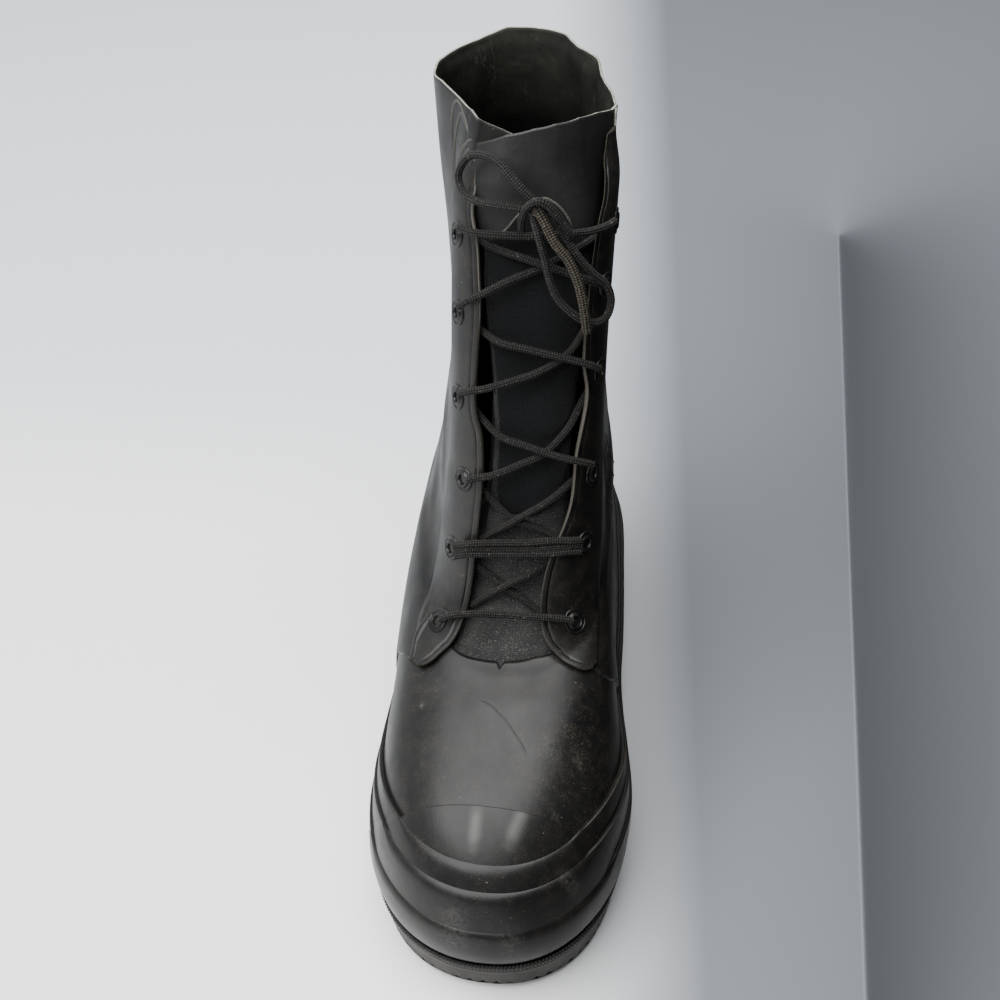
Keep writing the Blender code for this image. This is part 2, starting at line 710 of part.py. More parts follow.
BOW = {
    "lace_knot": [
        (-4, -65.8, 277.6), (0, -65, 283.5), (4, -63.5, 287.5), (9, -63, 289.5),
        (14, -62.5, 288), (17.5, -63, 284), (19.5, -62.2, 277.6),
    ],
    "lace_loop_lateral": [
        (3.5, -67.3, 288.6), (-1, -66, 297), (-8, -61, 303), (-15, -56, 304), (-21, -52.5, 301.5),
        (-25, -51, 296.5), (-26.5, -52, 291), (-23.5, -57, 287.5), (-17, -62.5, 287),
        (-9, -66, 286), (-2.5, -67.8, 286),
    ],
    "lace_loop_medial": [
        (6.5, -67, 285.8), (9, -69.5, 278.5), (11.5, -73.5, 268.5), (13, -75, 261),
        (16.5, -76, 252.5), (22.5, -77, 246.5), (29.5, -75.5, 241.5), (35.5, -71.5, 241.5),
        (37.5, -68, 247.5), (35.5, -68, 255), (30, -70, 261.5), (24.5, -70.5, 268.5),
        (19, -68.5, 276.5), (15.6, -66.6, 283.4),
    ],
    "lace_end": [
        (10.5, -71.5, 286.5), (15.5, -74.8, 278), (21, -76, 270), (25, -78, 261.5), (27.5, -80, 251.5),
        (29, -80, 239),
    ],
}  # fmt: skip


def tube(name, points, finish, home):
    curve = bpy.data.curves.new(name, "CURVE")
    curve.dimensions = "3D"
    curve.bevel_depth = LACE / 2 * MM
    curve.bevel_resolution = 2
    curve.use_fill_caps = True
    spline = curve.splines.new("POLY")
    spline.points.add(len(points) - 1)
    for place, point in zip(spline.points, points):
        place.co = (*(Vector(point) * MM), 1.0)
    return new_object(name, curve, finish, home)


def tube_mesh(name, points, finish, home):
    """A tube turned into a closed mesh, so that it can be joined to another."""
    source = tube(name + "_route", points, finish, home)
    bpy.context.view_layer.update()
    graph = bpy.context.evaluated_depsgraph_get()
    mesh = bpy.data.meshes.new_from_object(source.evaluated_get(graph))
    bpy.data.objects.remove(source, do_unlink=True)
    work = bmesh.new()
    work.from_mesh(mesh)
    bmesh.ops.remove_doubles(work, verts=work.verts, dist=1e-6)
    work.to_mesh(mesh)
    work.free()
    return new_object(name, mesh, None, home)


def build_laces(finish, worn_finish, home, cutters):
    for name, strands in LACE_BARS.items():
        if len(strands) == 1:
            tube(name, strands[0], finish, home)
            continue
        over = tube_mesh(name, strands[1], finish, home)
        under = tube_mesh(name + "_under", strands[0], finish, cutters)
        hide(under)
        boolean(over, under, "UNION")
    for name, route in BOW.items():
        tube(name, route, worn_finish if name == "lace_end" else finish, home)


# ---------------------------------------------------------------- the boot
def main():
    clear_scene()
    boot = collection("bunny_boot")
    cutters = collection("cutters")
    rubber = material("black rubber", (0.022, 0.022, 0.024), 0.45)
    tread = material("black tread rubber", (0.028, 0.028, 0.029), 0.6)
    felt = material("grey felt", (0.12, 0.12, 0.11), 0.95)
    knit = material("black knit", (0.012, 0.013, 0.018), 0.9)
    braid = material("black braided cord", (0.018, 0.018, 0.018), 0.85)
    worn_braid = material("worn olive braided cord", (0.075, 0.065, 0.045), 0.9)
    build_upper(rubber, boot)
    build_outsole(tread, boot, cutters)
    build_insole(felt, boot)
    build_plies(rubber, boot)
    build_toe_cap(rubber, boot)
    build_tongue(knit, boot)
    build_gusset(rubber, boot)
    for side in FACINGS:
        build_facing(side, rubber, boot, cutters)
        build_eyelets(side, rubber, boot)
    build_laces(braid, worn_braid, boot, cutters)


main()
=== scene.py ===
# %% [markdown]
# # A tall insulated rubber boot, laced and tied
#
# The boot is dipped and hand built from sheets of black rubber over a last, the wooden or metal
# foot that a shoemaker builds on. Its shape is therefore one smooth skin, and every other piece,
# plies, toe cap, lace stays and eyelets, lies on that skin or a few millimetres off it. This
# lesson first repeats the last, then hangs every piece on it.
#
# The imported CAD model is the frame: it sets all sizes. Everything made here keeps to it.

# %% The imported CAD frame
import math

import bmesh
import bpy
import numpy as np
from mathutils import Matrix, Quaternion, Vector


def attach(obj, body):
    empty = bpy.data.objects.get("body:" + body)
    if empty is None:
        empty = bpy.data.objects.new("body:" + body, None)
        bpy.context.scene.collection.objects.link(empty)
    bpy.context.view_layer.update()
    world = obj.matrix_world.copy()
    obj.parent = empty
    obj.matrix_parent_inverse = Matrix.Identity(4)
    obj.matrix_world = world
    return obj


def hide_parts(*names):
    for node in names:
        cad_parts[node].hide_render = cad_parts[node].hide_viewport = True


MM = 0.001  # every table below is in millimetres, and Blender works in metres
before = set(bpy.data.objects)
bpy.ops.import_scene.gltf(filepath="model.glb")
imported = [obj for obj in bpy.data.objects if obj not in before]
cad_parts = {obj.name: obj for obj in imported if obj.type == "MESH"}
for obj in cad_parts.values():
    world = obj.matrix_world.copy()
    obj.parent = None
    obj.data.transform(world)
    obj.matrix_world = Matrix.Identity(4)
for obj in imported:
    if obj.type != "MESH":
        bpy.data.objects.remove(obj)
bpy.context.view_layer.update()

# %% [markdown]
# The camera comes before any surface, because it decides which details are worth their triangles.
# A camera looks along its own -Z. `to_track_quat` turns that axis towards a point with the top of
# the picture up, and one more turn about the same axis gives the slight roll of a camera held in
# the hand.

# %% The camera
CAMERA_PLACE = Vector((0.0805, -0.5847, 0.5828))
CAMERA_AIM = Vector((-0.0059, -0.1, 0.1639))
CAMERA_ROLL = -2.192  # degrees

camera = bpy.data.objects.new("camera", bpy.data.cameras.new("camera"))
bpy.context.scene.collection.objects.link(camera)
bpy.context.scene.camera = camera
camera.data.sensor_width = 36
camera.data.lens = 54
camera.location = CAMERA_PLACE
camera.rotation_mode = "QUATERNION"
gaze = (CAMERA_AIM - CAMERA_PLACE).to_track_quat("-Z", "Y")
camera.rotation_quaternion = gaze @ Quaternion((0, 0, 1), math.radians(CAMERA_ROLL))
print("camera", round((CAMERA_AIM - CAMERA_PLACE).length, 3), "m from the boot")

# %% [markdown]
# ## The last
#
# Each row of the table is one ring of the boot's outer skin, from the feather edge above the sole
# up to the collar. A ring has a back end and a front end, half widths at three places, and round
# ends. A curve through the rows (Catmull-Rom, which passes through every row) fills the space
# between rings.
#
# A place on the skin is a pair: its *level*, the row number, and its *turn*, the share of the way
# round, 0 at the heel, 0.5 at the toe, going by the outer side of the foot. The same could be
# done with a sculpted mesh, but then no other piece would know where the skin is.

# %% The table of the last
LAST_COLUMNS = (
    "xb", "yb", "zb", "xf", "yf", "zf",
    "lat_b", "lat_m", "lat_f", "med_b", "med_m", "med_f",
    "heel_at", "toe_at", "toe_power", "wall",
)  # fmt: skip
LAST = {
    "feather": (-6, 79.5, 14.0, 5, -231.5, 20.0, 38, 52, 56.5, 37.5, 42, 51.5, 0.21, 0.74, 2.2, 8.0),
    "bulge": (-6, 82, 30.0, 5, -234.5, 32.0, 40, 54, 57.5, 38.5, 43, 52.5, 0.21, 0.74, 2.2, 8.5),
    "side": (-6, 81.5, 44.0, 5, -233, 43.0, 42, 56, 57, 38, 43, 52.5, 0.21, 0.74, 2.2, 8.5),
    "rand": (-6, 78, 61.0, 5, -227.5, 57.0, 44, 57, 56, 36, 43, 51.5, 0.22, 0.73, 2.2, 8.5),
    "shoulder": (-6.5, 73.5, 77, 4.5, -217, 69.5, 45.5, 57, 53.5, 34, 42.5, 48.5, 0.24, 0.72, 2.2, 8.5),
    "cap": (-7, 69, 91.0, 4, -202.5, 79.5, 46, 56, 50.5, 33, 42.5, 45, 0.27, 0.7, 2.2, 8.0),
    "vamp": (-7.5, 66, 104.0, 3, -180, 89.0, 45.5, 54, 47, 32.5, 42, 42, 0.31, 0.68, 2.2, 7.5),
    "instep": (-8, 64, 116.0, 2, -158, 95.0, 44.5, 51.5, 43.5, 32.5, 41, 39.5, 0.35, 0.65, 2.3, 7.0),
    "throat": (-8.5, 63, 128.0, 2, -138, 99.5, 43, 48.5, 40, 32.5, 40, 37.5, 0.38, 0.63, 2.5, 6.5),
    "tie": (-9, 62.5, 142.0, 2, -121, 112, 41, 45, 37.5, 31.5, 38, 36.5, 0.41, 0.62, 2.8, 6.0),
    "ankle": (-9.5, 62.0, 160.0, 2.5, -109, 134, 38.5, 41.5, 35.5, 30.5, 35.5, 35.5, 0.44, 0.62, 3.1, 5.5),
    "shin_1": (-10.5, 62.0, 189, 3, -97.5, 168, 35.5, 37.5, 32.5, 29, 33.5, 33, 0.46, 0.62, 3.2, 4.5),
    "shin_2": (-12, 62.0, 218, 3.5, -85.5, 204, 33, 35, 31.5, 28, 32.5, 32.5, 0.48, 0.62, 3.2, 3.5),
    "shin_3": (-13.5, 61.5, 248, 4, -74, 238, 32, 36, 31.5, 27.5, 32, 33, 0.48, 0.62, 3.1, 2.8),
    "cuff": (-15, 60.5, 278.0, 5, -61, 272, 32.5, 38.5, 31.5, 26, 32.5, 33.5, 0.5, 0.6, 2.8, 2.2),
    "collar": (-16, 60.0, 308.5, 6, -45, 306, 33, 41, 30.5, 24, 32, 33.5, 0.5, 0.58, 2.3, 1.9),
}
HEEL_POWER = 2.2  # the rings' round ends are superellipses
STATIONS = (0.2, 0.48, 0.76)  # where the half widths are measured, from the heel end of a ring
ROWS = np.array(list(LAST.values()))
TOP = len(ROWS) - 1
print("last:", len(ROWS), "rings")

# %% [markdown]
# The whole lesson works on arrays of places at once, with numpy: a surface of forty thousand
# points is then one call, and the script stays quick.

# %% Curves through a table
def mix(a, b, t):
    return a + (b - a) * t


def ease(low, high, value):
    """0 below low, 1 above high, and a smooth S between them."""
    t = np.clip((np.asarray(value, float) - low) / (high - low), 0, 1)
    return t * t * (3 - 2 * t)


def through(rows, at):
    """All columns of a table at fractional row numbers, on a curve through its rows."""
    rows = np.asarray(rows, float)
    last = len(rows) - 1
    at = np.clip(at, 0, last)
    first = np.minimum(at.astype(int), last - 1)
    t = (at - first)[:, None]
    more = np.vstack([2 * rows[0] - rows[1], rows, 2 * rows[-1] - rows[-2]])
    p0, p1, p2, p3 = (more[first + k] for k in range(4))
    bend = 3 * (p1 - p2) + p3 - p0
    return 0.5 * (2 * p1 + (p2 - p0) * t + (2 * p0 - 5 * p1 + 4 * p2 - p3) * t * t + bend * t**3)


def read(rows, at, column):
    """One column of a table, straight between rows, at values of its first column."""
    rows = np.asarray(rows, float)
    return np.interp(at, rows[:, 0], rows[:, column])


print("half way through three rows:", through([[0, 0], [1, 2], [2, 8]], np.array([0.5, 1.5])))

# %% The skin of the last
def end_round(s, ring):
    """1 along a ring's middle and 0 at its two ends."""
    heel = (ring["heel_at"] - s) / ring["heel_at"]
    toe = (s - ring["toe_at"]) / (1 - ring["toe_at"])
    power = np.where(heel > toe, HEEL_POWER, ring["toe_power"])
    end = np.maximum(np.maximum(heel, toe), 0)
    return np.maximum(1 - end**power, 0) ** (1 / power)


def half_width(sides, ring, s):
    a, b, c = STATIONS
    low, middle, high = (side / end_round(at, ring) for side, at in zip(sides, STATIONS))
    back = mix(low, middle, ease(a - (b - a) * 0.4, b, s))
    front = mix(middle, high, ease(b, c + (c - b) * 0.1, s))
    return np.where(s <= b, back, front) * end_round(s, ring)


def last_points(level, turn):
    """Points of the skin in mm, one for each level and turn."""
    level, turn = (np.ravel(a) for a in np.broadcast_arrays(np.asarray(level, float), turn))
    ring = dict(zip(LAST_COLUMNS, through(ROWS, level).T))
    turn = turn % 1.0
    s = (1 - np.cos(2 * np.pi * turn)) / 2
    back = np.stack([ring["xb"], ring["yb"], ring["zb"]], 1)
    axis = np.stack([ring["xf"], ring["yf"], ring["zf"]], 1) - back
    across = np.stack([-axis[:, 1], axis[:, 0], 0 * s], 1)
    across /= np.linalg.norm(across, axis=1)[:, None]
    outer = half_width([ring["lat_b"], ring["lat_m"], ring["lat_f"]], ring, s)
    inner = half_width([ring["med_b"], ring["med_m"], ring["med_f"]], ring, s)
    side = np.where(turn < 0.5, -outer, inner)
    return back + axis * s[:, None] + across * side[:, None]


def unit(vectors):
    return vectors / np.maximum(np.linalg.norm(vectors, axis=1), 1e-9)[:, None]


def skin_normals(level, turn):
    level = np.asarray(level, float)
    along = last_points(level, turn + 0.004) - last_points(level, turn - 0.004)
    above, below = np.minimum(level + 0.05, TOP), np.maximum(level - 0.05, 0)
    return unit(np.cross(along, last_points(above, turn) - last_points(below, turn)))


def skin(level, turn, out=0.0):
    """The skin moved out along its normal by a distance in mm."""
    out = np.broadcast_to(out, np.broadcast(level, turn).shape)
    return last_points(level, turn) + skin_normals(level, turn) * np.ravel(out)[:, None]


def mm_per_level(level, turn):
    low = last_points(np.maximum(level - 0.1, 0), turn)
    high = last_points(np.minimum(level + 0.1, TOP), turn)
    span = np.minimum(level + 0.1, TOP) - np.maximum(level - 0.1, 0)
    return np.linalg.norm(high - low, axis=1) / span


def level_where(turn, reached):
    """The level at which the rising skin first satisfies reached(points), by halving."""
    low, high = np.zeros(len(turn)), np.full(len(turn), float(TOP))
    for _ in range(30):
        middle = (low + high) / 2
        hit = reached(last_points(middle, turn))
        low, high = np.where(hit, low, middle), np.where(hit, middle, high)
    return high


def toe_share(turn):
    """1 at the toe, 0 at the heel."""
    return (1 - np.cos(2 * np.pi * turn)) / 2


print("toe end of the feather edge:", last_points(0, np.array([0.5]))[0].round(1), "mm")

# %% [markdown]
# ## From a flat grid to a piece
#
# Nearly every piece here starts as the same thing: Blender's own grid, a flat sheet of quads
# with a UV map, whose vertices are then moved onto the last. It is how a sheet of rubber is laid
# on a real last. `lofted` does that. A function says where the sheet's place (u, v) goes, and
# which pair of numbers goes in the UV map: here turn and level, so that a finish can find a
# place on the boot.

# %% Laying a grid on the last
def mapped(turn, level):
    """A piece's map: turn, and level as a share of the boot's height."""
    return np.stack([turn, level / TOP], 1)


def object_of(name, work, smooth=True):
    """The bmesh as an object of the scene, at the origin."""
    mesh = bpy.data.meshes.new(name)
    work.to_mesh(mesh)
    work.free()
    if smooth:
        mesh.shade_smooth()
    made = bpy.data.objects.new(name, mesh)
    bpy.context.scene.collection.objects.link(made)
    return made


def lofted(name, across, along, place, merge=False, drop=None):
    """A grid of across x along quads moved to place(u, v) = (points in mm, map)."""
    work = bmesh.new()
    layer = work.loops.layers.uv.new("UVMap")
    bmesh.ops.create_grid(work, x_segments=across, y_segments=along, size=0.5, calc_uvs=True)
    work.verts.index_update()
    flat = np.array([vert.co[:2] for vert in work.verts]) + 0.5
    points, marks = place(flat[:, 0], flat[:, 1])
    for face in work.faces:
        for loop in face.loops:
            loop[layer].uv = marks[loop.vert.index]
    if drop is not None:
        middles = [face.calc_center_median() for face in work.faces]
        gone = [face for face, m in zip(work.faces, middles) if drop(m.x + 0.5, m.y + 0.5)]
    for vert, point in zip(work.verts, points):
        vert.co = point * MM
    if drop is not None:
        bmesh.ops.delete(work, geom=gone, context="FACES")
    if merge:
        bmesh.ops.remove_doubles(work, verts=work.verts, dist=1e-6)
    return object_of(name, work)


def sharpen(piece, degrees):
    """Edges that turn by more than this are shaded as edges."""
    piece.data.set_sharp_from_angle(angle=math.radians(degrees))


def wall(piece, thickness, weights=None, offset=-1.0, inner=0, rim=0):
    """Solidify. inner and rim: which material slots the hidden face and the cut edge take."""
    solid = piece.modifiers.new("wall", "SOLIDIFY")
    solid.thickness = thickness * MM
    solid.offset = offset
    solid.use_even_offset = False
    solid.material_offset = inner
    solid.material_offset_rim = rim
    if weights is not None:
        group = piece.vertex_groups.new(name="wall")
        for index, weight in enumerate(weights):
            group.add([index], float(weight), "REPLACE")
        solid.vertex_group = "wall"


def finished(piece, slot, finishes, *nodes):
    """The piece rides on the boot's one body, takes its finishes, and stands for CAD nodes."""
    for finish in finishes:
        piece.data.materials.append(finish)
    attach(piece, "root")
    if nodes:
        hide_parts(*nodes)
    print(piece.name, len(piece.data.polygons), "faces")
    return piece


print("helpers ready")

# %% [markdown]
# ## Finishes
#
# All finishes are made of shader nodes. Adding a node and wiring it takes five lines each time,
# so one small function does both: it makes the node, sets its values, and links any value that
# is another node's output. Colours are given as the usual hex codes and turned to linear light,
# because the shader works in linear light.

# %% One function that adds a node
def linear(code):
    """'#rrggbb' as linear red, green, blue and alpha."""
    parts = [int(code[k : k + 2], 16) / 255 for k in (1, 3, 5)]
    return (*[c / 12.92 if c <= 0.04045 else ((c + 0.055) / 1.055) ** 2.4 for c in parts], 1.0)


def node(tree, kind, values=None, **settings):
    """A node of the tree. values: input name or number to a value or another node's output."""
    made = tree.nodes.new("ShaderNode" + kind)
    for key, value in settings.items():
        setattr(made, key, value)
    for key, value in (values or {}).items():
        socket = made.inputs[key]
        if isinstance(value, bpy.types.NodeSocket):
            tree.links.new(value, socket)
        else:
            socket.default_value = value
    return made


def finish_start(name):
    made = bpy.data.materials.new(name)
    made.use_nodes = True
    tree = made.node_tree
    tree.nodes.clear()
    out = node(tree, "OutputMaterial")
    shader = node(tree, "BsdfPrincipled")
    tree.links.new(shader.outputs[0], out.inputs["Surface"])
    return made, tree, shader


def grain(tree, size_mm, detail=3.0, roughness=0.5, stretch=(1, 1, 1), seed=0.0):
    """Noise whose lumps are about size_mm across, in the boot's own millimetres."""
    place = node(tree, "TexCoord").outputs["Object"]
    turned = node(tree, "Mapping", {"Vector": place, "Scale": stretch, "Location": (seed, seed, 0)})
    values = {"Vector": turned.outputs[0], "Scale": 1000 / size_mm, "Detail": detail}
    values["Roughness"] = roughness
    return node(tree, "TexNoise", values).outputs[0]


def step(tree, value, low, high, to_low=0.0, to_high=1.0):
    """The value from low..high to to_low..to_high, held at both ends."""
    values = {0: value, 1: low, 2: high, 3: to_low, 4: to_high}
    return node(tree, "MapRange", values, clamp=True).outputs[0]


def times(tree, a, b, operation="MULTIPLY"):
    return node(tree, "Math", {0: a, 1: b}, operation=operation).outputs[0]


def blend(tree, share, low, high):
    """A colour between two, by share."""
    made = node(tree, "Mix", data_type="RGBA")
    for socket, value in ((made.inputs[0], share), (made.inputs[6], low), (made.inputs[7], high)):
        if isinstance(value, bpy.types.NodeSocket):
            tree.links.new(value, socket)
        elif isinstance(value, str):
            socket.default_value = linear(value)
        else:
            socket.default_value = value
    return made.outputs[2]


def finish_end(tree, shader, base, height, roughness, specular):
    """Wires a finish's colour and its bump, heights in mm, and sets how dull it is."""
    bump = node(tree, "Bump", {"Height": height, "Distance": MM, "Strength": 1.0})
    tree.links.new(base, shader.inputs["Base Color"])
    tree.links.new(bump.outputs[0], shader.inputs["Normal"])
    if isinstance(roughness, bpy.types.NodeSocket):
        tree.links.new(roughness, shader.inputs["Roughness"])
    else:
        shader.inputs["Roughness"].default_value = roughness
    shader.inputs["Specular IOR Level"].default_value = specular


def map_parts(tree, output="UV"):
    """The separate numbers of a piece's map, or of its object coordinates."""
    return node(tree, "SeparateXYZ", {0: node(tree, "TexCoord").outputs[output]}).outputs


def attribute(tree, name):
    return node(tree, "Attribute", attribute_name=name).outputs["Fac"]


print("black rubber in linear light:", [round(c, 4) for c in linear("#2c2c2d")])

# %% [markdown]
# ** Rubber.** Aged black rubber isn't black: it is a very dark grey with a satin shine that
# changes from place to place, a bloom of brown dust that sits in the pores, a few pale specks and
# soft smears. The pores are about half a millimetre, the cloudy patches 28 mm. Dust and scuffs
# are heavier where hands and floors touch, so painted masks say where: `dust` and `scuff`. On the
# toe cap a third mask, `worn`, lays on two pale upright streaks, partly wear and partly painted
# highlight. The stays' cut edges have one more, `rubbed`. Masks are attributes of the mesh,
# numbers kept at its vertices.

# %% The rubber finish
DUST, FLECK, CAP_WEAR_AND_HIGHLIGHT, SCUFF = "#5b5040", "#8d8577", "#4b4b49", "#6f6d68"


def rubber(name, dark, light, gloss, bloom, specks=0.5):
    made, tree, shader = finish_start(name)
    cloud = grain(tree, 28, detail=4)  # patches of 28 mm
    base = blend(tree, step(tree, cloud, 0.35, 0.65), dark, light)
    smear = grain(tree, 9, detail=5, stretch=(1, 1, 0.35), seed=3.1)
    base = blend(tree, step(tree, smear, 0.5, 0.8, 0, 0.35), base, light)
    dusty = attribute(tree, "dust")
    pores = grain(tree, 0.55, detail=2)  # pores of 0.55 mm
    film = step(tree, grain(tree, 6, detail=6, roughness=0.7, seed=1.7), 0.42, 0.75)
    held = times(tree, step(tree, pores, 0.45, 0.7), film)
    amount = times(tree, times(tree, dusty, 1.0, "ADD"), bloom)
    base = blend(tree, times(tree, held, amount), base, DUST)
    fleck = step(tree, grain(tree, 1.1, detail=1, seed=7.7), 0.76, 0.8)  # flecks of 1.1 mm
    few = step(tree, grain(tree, 20, detail=2, seed=5.2), 0.5, 0.62)
    base = blend(tree, times(tree, times(tree, fleck, few), specks), base, FLECK)
    # the `worn` mask paints the toe cap's pale streaks: partly wear, partly painted highlight
    worn = times(tree, attribute(tree, "worn"), step(tree, cloud, 0.2, 0.6, 0.6, 1.0))
    base = blend(tree, worn, base, CAP_WEAR_AND_HIGHLIGHT)
    rubbed = step(tree, grain(tree, 1.6, detail=8, roughness=0.7, seed=2.2), 0.4, 0.75)
    base = blend(tree, times(tree, attribute(tree, "scuff"), rubbed), base, SCUFF)
    shine = step(tree, grain(tree, 14, detail=5, seed=9.0), 0.3, 0.7, gloss - 0.05, gloss + 0.07)
    shine = times(tree, shine, times(tree, held, 0.2), "ADD")
    fine = step(tree, pores, 0.3, 0.7, 0, 0.012)
    drag = step(tree, grain(tree, 2.5, detail=4, stretch=(1, 0.2, 1), seed=4.0), 0.3, 0.7, 0, 0.02)
    finish_end(tree, shader, base, times(tree, fine, drag, "ADD"), shine, 0.26)
    print(name)
    return made


shell_rubber = rubber("aged black rubber", "#0d0d0e", "#161615", 0.34, bloom=0.38)
ply_rubber = rubber("moulded black rubber", "#0b0b0c", "#131312", 0.34, bloom=0.25)
panel_rubber = rubber("smooth sheet rubber", "#151515", "#1f1f1f", 0.37, bloom=0.12, specks=0.35)
eyelet_rubber = rubber("glossy black rubber", "#0a0a0b", "#111112", 0.3, bloom=0.3, specks=0.2)

# %% The wall's inside, its cut rim, and the stays' cut edge
def cut_edge(name, dark, light, fuzz_mm, pale_above=None):
    """The section of a sheet of rubber laid on cloth: dry, fuzzy, and pale where hands rub it."""
    made, tree, shader = finish_start(name)
    fuzz = grain(tree, fuzz_mm, detail=4)
    base = blend(tree, step(tree, fuzz, 0.3, 0.7), dark, light)
    base = blend(tree, times(tree, attribute(tree, "rubbed"), 0.8), base, "#6b6861")
    if pale_above is not None:  # the map's second number is the level as a share of the height
        at_top = step(tree, map_parts(tree)[1], pale_above - 0.01, pale_above)
        base = blend(tree, at_top, "#171716", base)
    finish_end(tree, shader, base, step(tree, fuzz, 0.3, 0.7, 0, 0.1), 0.85, 0.15)
    print(name)
    return made


def lining_cloth():
    """Rubber-dipped lining seen inside the shaft, with brown smudges, pale lines of painted highlight on
    creases, and painted shade deeper down.
    """
    made, tree, shader = finish_start("dipped lining")
    cloud = grain(tree, 22, detail=5)
    base = blend(tree, step(tree, cloud, 0.35, 0.7), "#191a17", "#2f302b")
    smudge = step(tree, grain(tree, 9, detail=6, roughness=0.65, seed=2.0), 0.55, 0.75)
    base = blend(tree, times(tree, smudge, 0.5), base, "#443f35")
    # a pale line of painted highlight on a crease runs where a stretched noise passes through its middle
    # value
    veins = grain(tree, 10, detail=5, roughness=0.6, stretch=(1, 1, 0.3), seed=8.0)
    off = times(tree, veins, 0.5, "SUBTRACT")
    crease_highlight = step(tree, times(tree, off, 0.0, "ABSOLUTE"), 0.0, 0.012, 1.0, 0.0)
    some = step(tree, grain(tree, 24, detail=3, seed=4.4), 0.45, 0.62)
    base = blend(tree, times(tree, times(tree, crease_highlight, some), 0.45), base, "#6f6d63")
    place = map_parts(tree)
    outer = step(tree, place[0], 0.3, 0.5, 1.0, 0.0)
    inner = step(tree, place[0], 0.6, 0.99, 0.15, 1.0)
    near_top = step(tree, place[1], 0.9, 0.985)
    unshaded_share = times(tree, near_top, times(tree, outer, inner, "MAXIMUM"))
    base = blend(tree, unshaded_share, "#040403", base)  # painted shade: darker further down and round the front and the inner side
    finish_end(tree, shader, base, step(tree, cloud, 0.3, 0.7, 0, 0.6), 0.75, 0.15)
    return made


lining = lining_cloth()
rim_edge = cut_edge("collar cut edge", "#6a6b62", "#a5a699", 0.8, pale_above=0.985)
stay_edge = cut_edge("lace stay cut edge", "#141310", "#3f3b33", 0.5)
binding = cut_edge("knit edge binding", "#111111", "#222221", 0.5)
piping = cut_edge("pale piping", "#2c2c2a", "#55544f", 0.5)

# %% [markdown]
# **Cloth.** Two cloths show in the throat. Low down is a coarse dry gusset cloth, full of pale
# specks. Above it is a fine ribbed knit, blue-black, with its ribs running up the leg. A weave
# could be real threads, but at half a millimetre a wave texture along the sheet's own map does
# the same for no triangles. The map holds turn and level, so the number of ribs is a count.

# %% The two cloths of the throat
def ribs_on_map(tree, per_u, per_v):
    """Rounded ribs that many to a unit of the sheet's map, along and across."""
    parts = map_parts(tree)
    heights = []
    for output, count in ((parts[0], per_u), (parts[1], per_v)):
        wave = times(tree, times(tree, output, 2 * math.pi * count), 0.0, "SINE")
        heights.append(step(tree, wave, -1, 1))
    return heights


def cloth(name, dark, light, speck, per_u, per_v, rib_mm, specks):
    made, tree, shader = finish_start(name)
    along, across = ribs_on_map(tree, per_u, per_v)
    weave = times(tree, along, across, "MAXIMUM")
    thick = grain(tree, 1.2, detail=5)
    cloud = grain(tree, 18, detail=4)
    base = blend(tree, step(tree, cloud, 0.3, 0.7), dark, light)
    # painted shade: the hollows between the ribs are darkened towards near black
    base = blend(tree, step(tree, weave, 0.2, 0.9, 0.45, 0.0), base, "#08080a")
    lint = step(tree, grain(tree, 0.55, detail=2, seed=3.0), 0.6, 0.72)
    base = blend(tree, times(tree, lint, specks), base, speck)
    shader.inputs["Sheen Weight"].default_value = 0.05
    height = times(tree, times(tree, weave, rib_mm), step(tree, thick, 0.3, 0.7, 0, 0.12), "ADD")
    finish_end(tree, shader, base, height, 0.92, 0.12)
    print(name)
    return made


# One unit of u is about 570 mm round the last, one unit of v about 330 mm up it.
gusset_cloth = cloth("coarse gusset cloth", "#222222", "#383837", "#85827b", 620, 360, 0.14, 0.45)
knit = cloth("fine ribbed knit", "#08090a", "#0f1011", "#3a393a", 700, 420, 0.12, 0.25)

# %% [markdown]
# ** Lace.** The braid itself is modelled, so the finish only needs the colour of the yarn: nearly
# black, or a worn olive for the cord's end. On top of that the finish paints the braid's high
# places a paler brown, a painted highlight, and its crevices near black, a painted shade.
# `Pointiness` would find the high places; the finish works out the braid's pattern again from the
# tube's map.

# %% The lace finishes and the felt
LAY = 2.1  # mm along the cord in which each wave of the pattern repeats
YARNS = 4  # waves round the cord in each direction, which make eight lozenges to a row


def braid_pattern(tree):
    """Lozenges from the tube's map, whose u goes round and whose v is centimetres along."""
    place = map_parts(tree)
    around = times(tree, place[0], 2 * math.pi * YARNS)
    along = times(tree, place[1], 2 * math.pi * 10 / LAY)
    one = times(tree, times(tree, around, along, "ADD"), 0.0, "COSINE")
    other = times(tree, times(tree, around, along, "SUBTRACT"), 0.0, "COSINE")
    return step(tree, times(tree, one, other), -1, 1)


def braid_finish(name, deep, high, lint):
    made, tree, shader = finish_start(name)
    lozenge = braid_pattern(tree)
    yarn = step(tree, grain(tree, 0.9, detail=4), 0.3, 0.7, 0.25, 1.0)
    # painted highlight and shade: the braid's high places take the paler colour, its crevices the
    # near-black one
    base = blend(tree, times(tree, step(tree, lozenge, 0.4, 0.95), yarn), deep, high)
    spots = step(tree, grain(tree, 1.0, detail=2, seed=4.4), 0.66, 0.74)
    base = blend(tree, times(tree, spots, 0.5), base, lint)
    shader.inputs["Sheen Weight"].default_value = 0.03
    fibre = step(tree, grain(tree, 0.35, detail=3, seed=1.1), 0.3, 0.7, 0, 0.05)
    height = times(tree, times(tree, lozenge, 0.3), fibre, "ADD")
    finish_end(tree, shader, base, height, 0.7, 0.2)
    print(name)
    return made


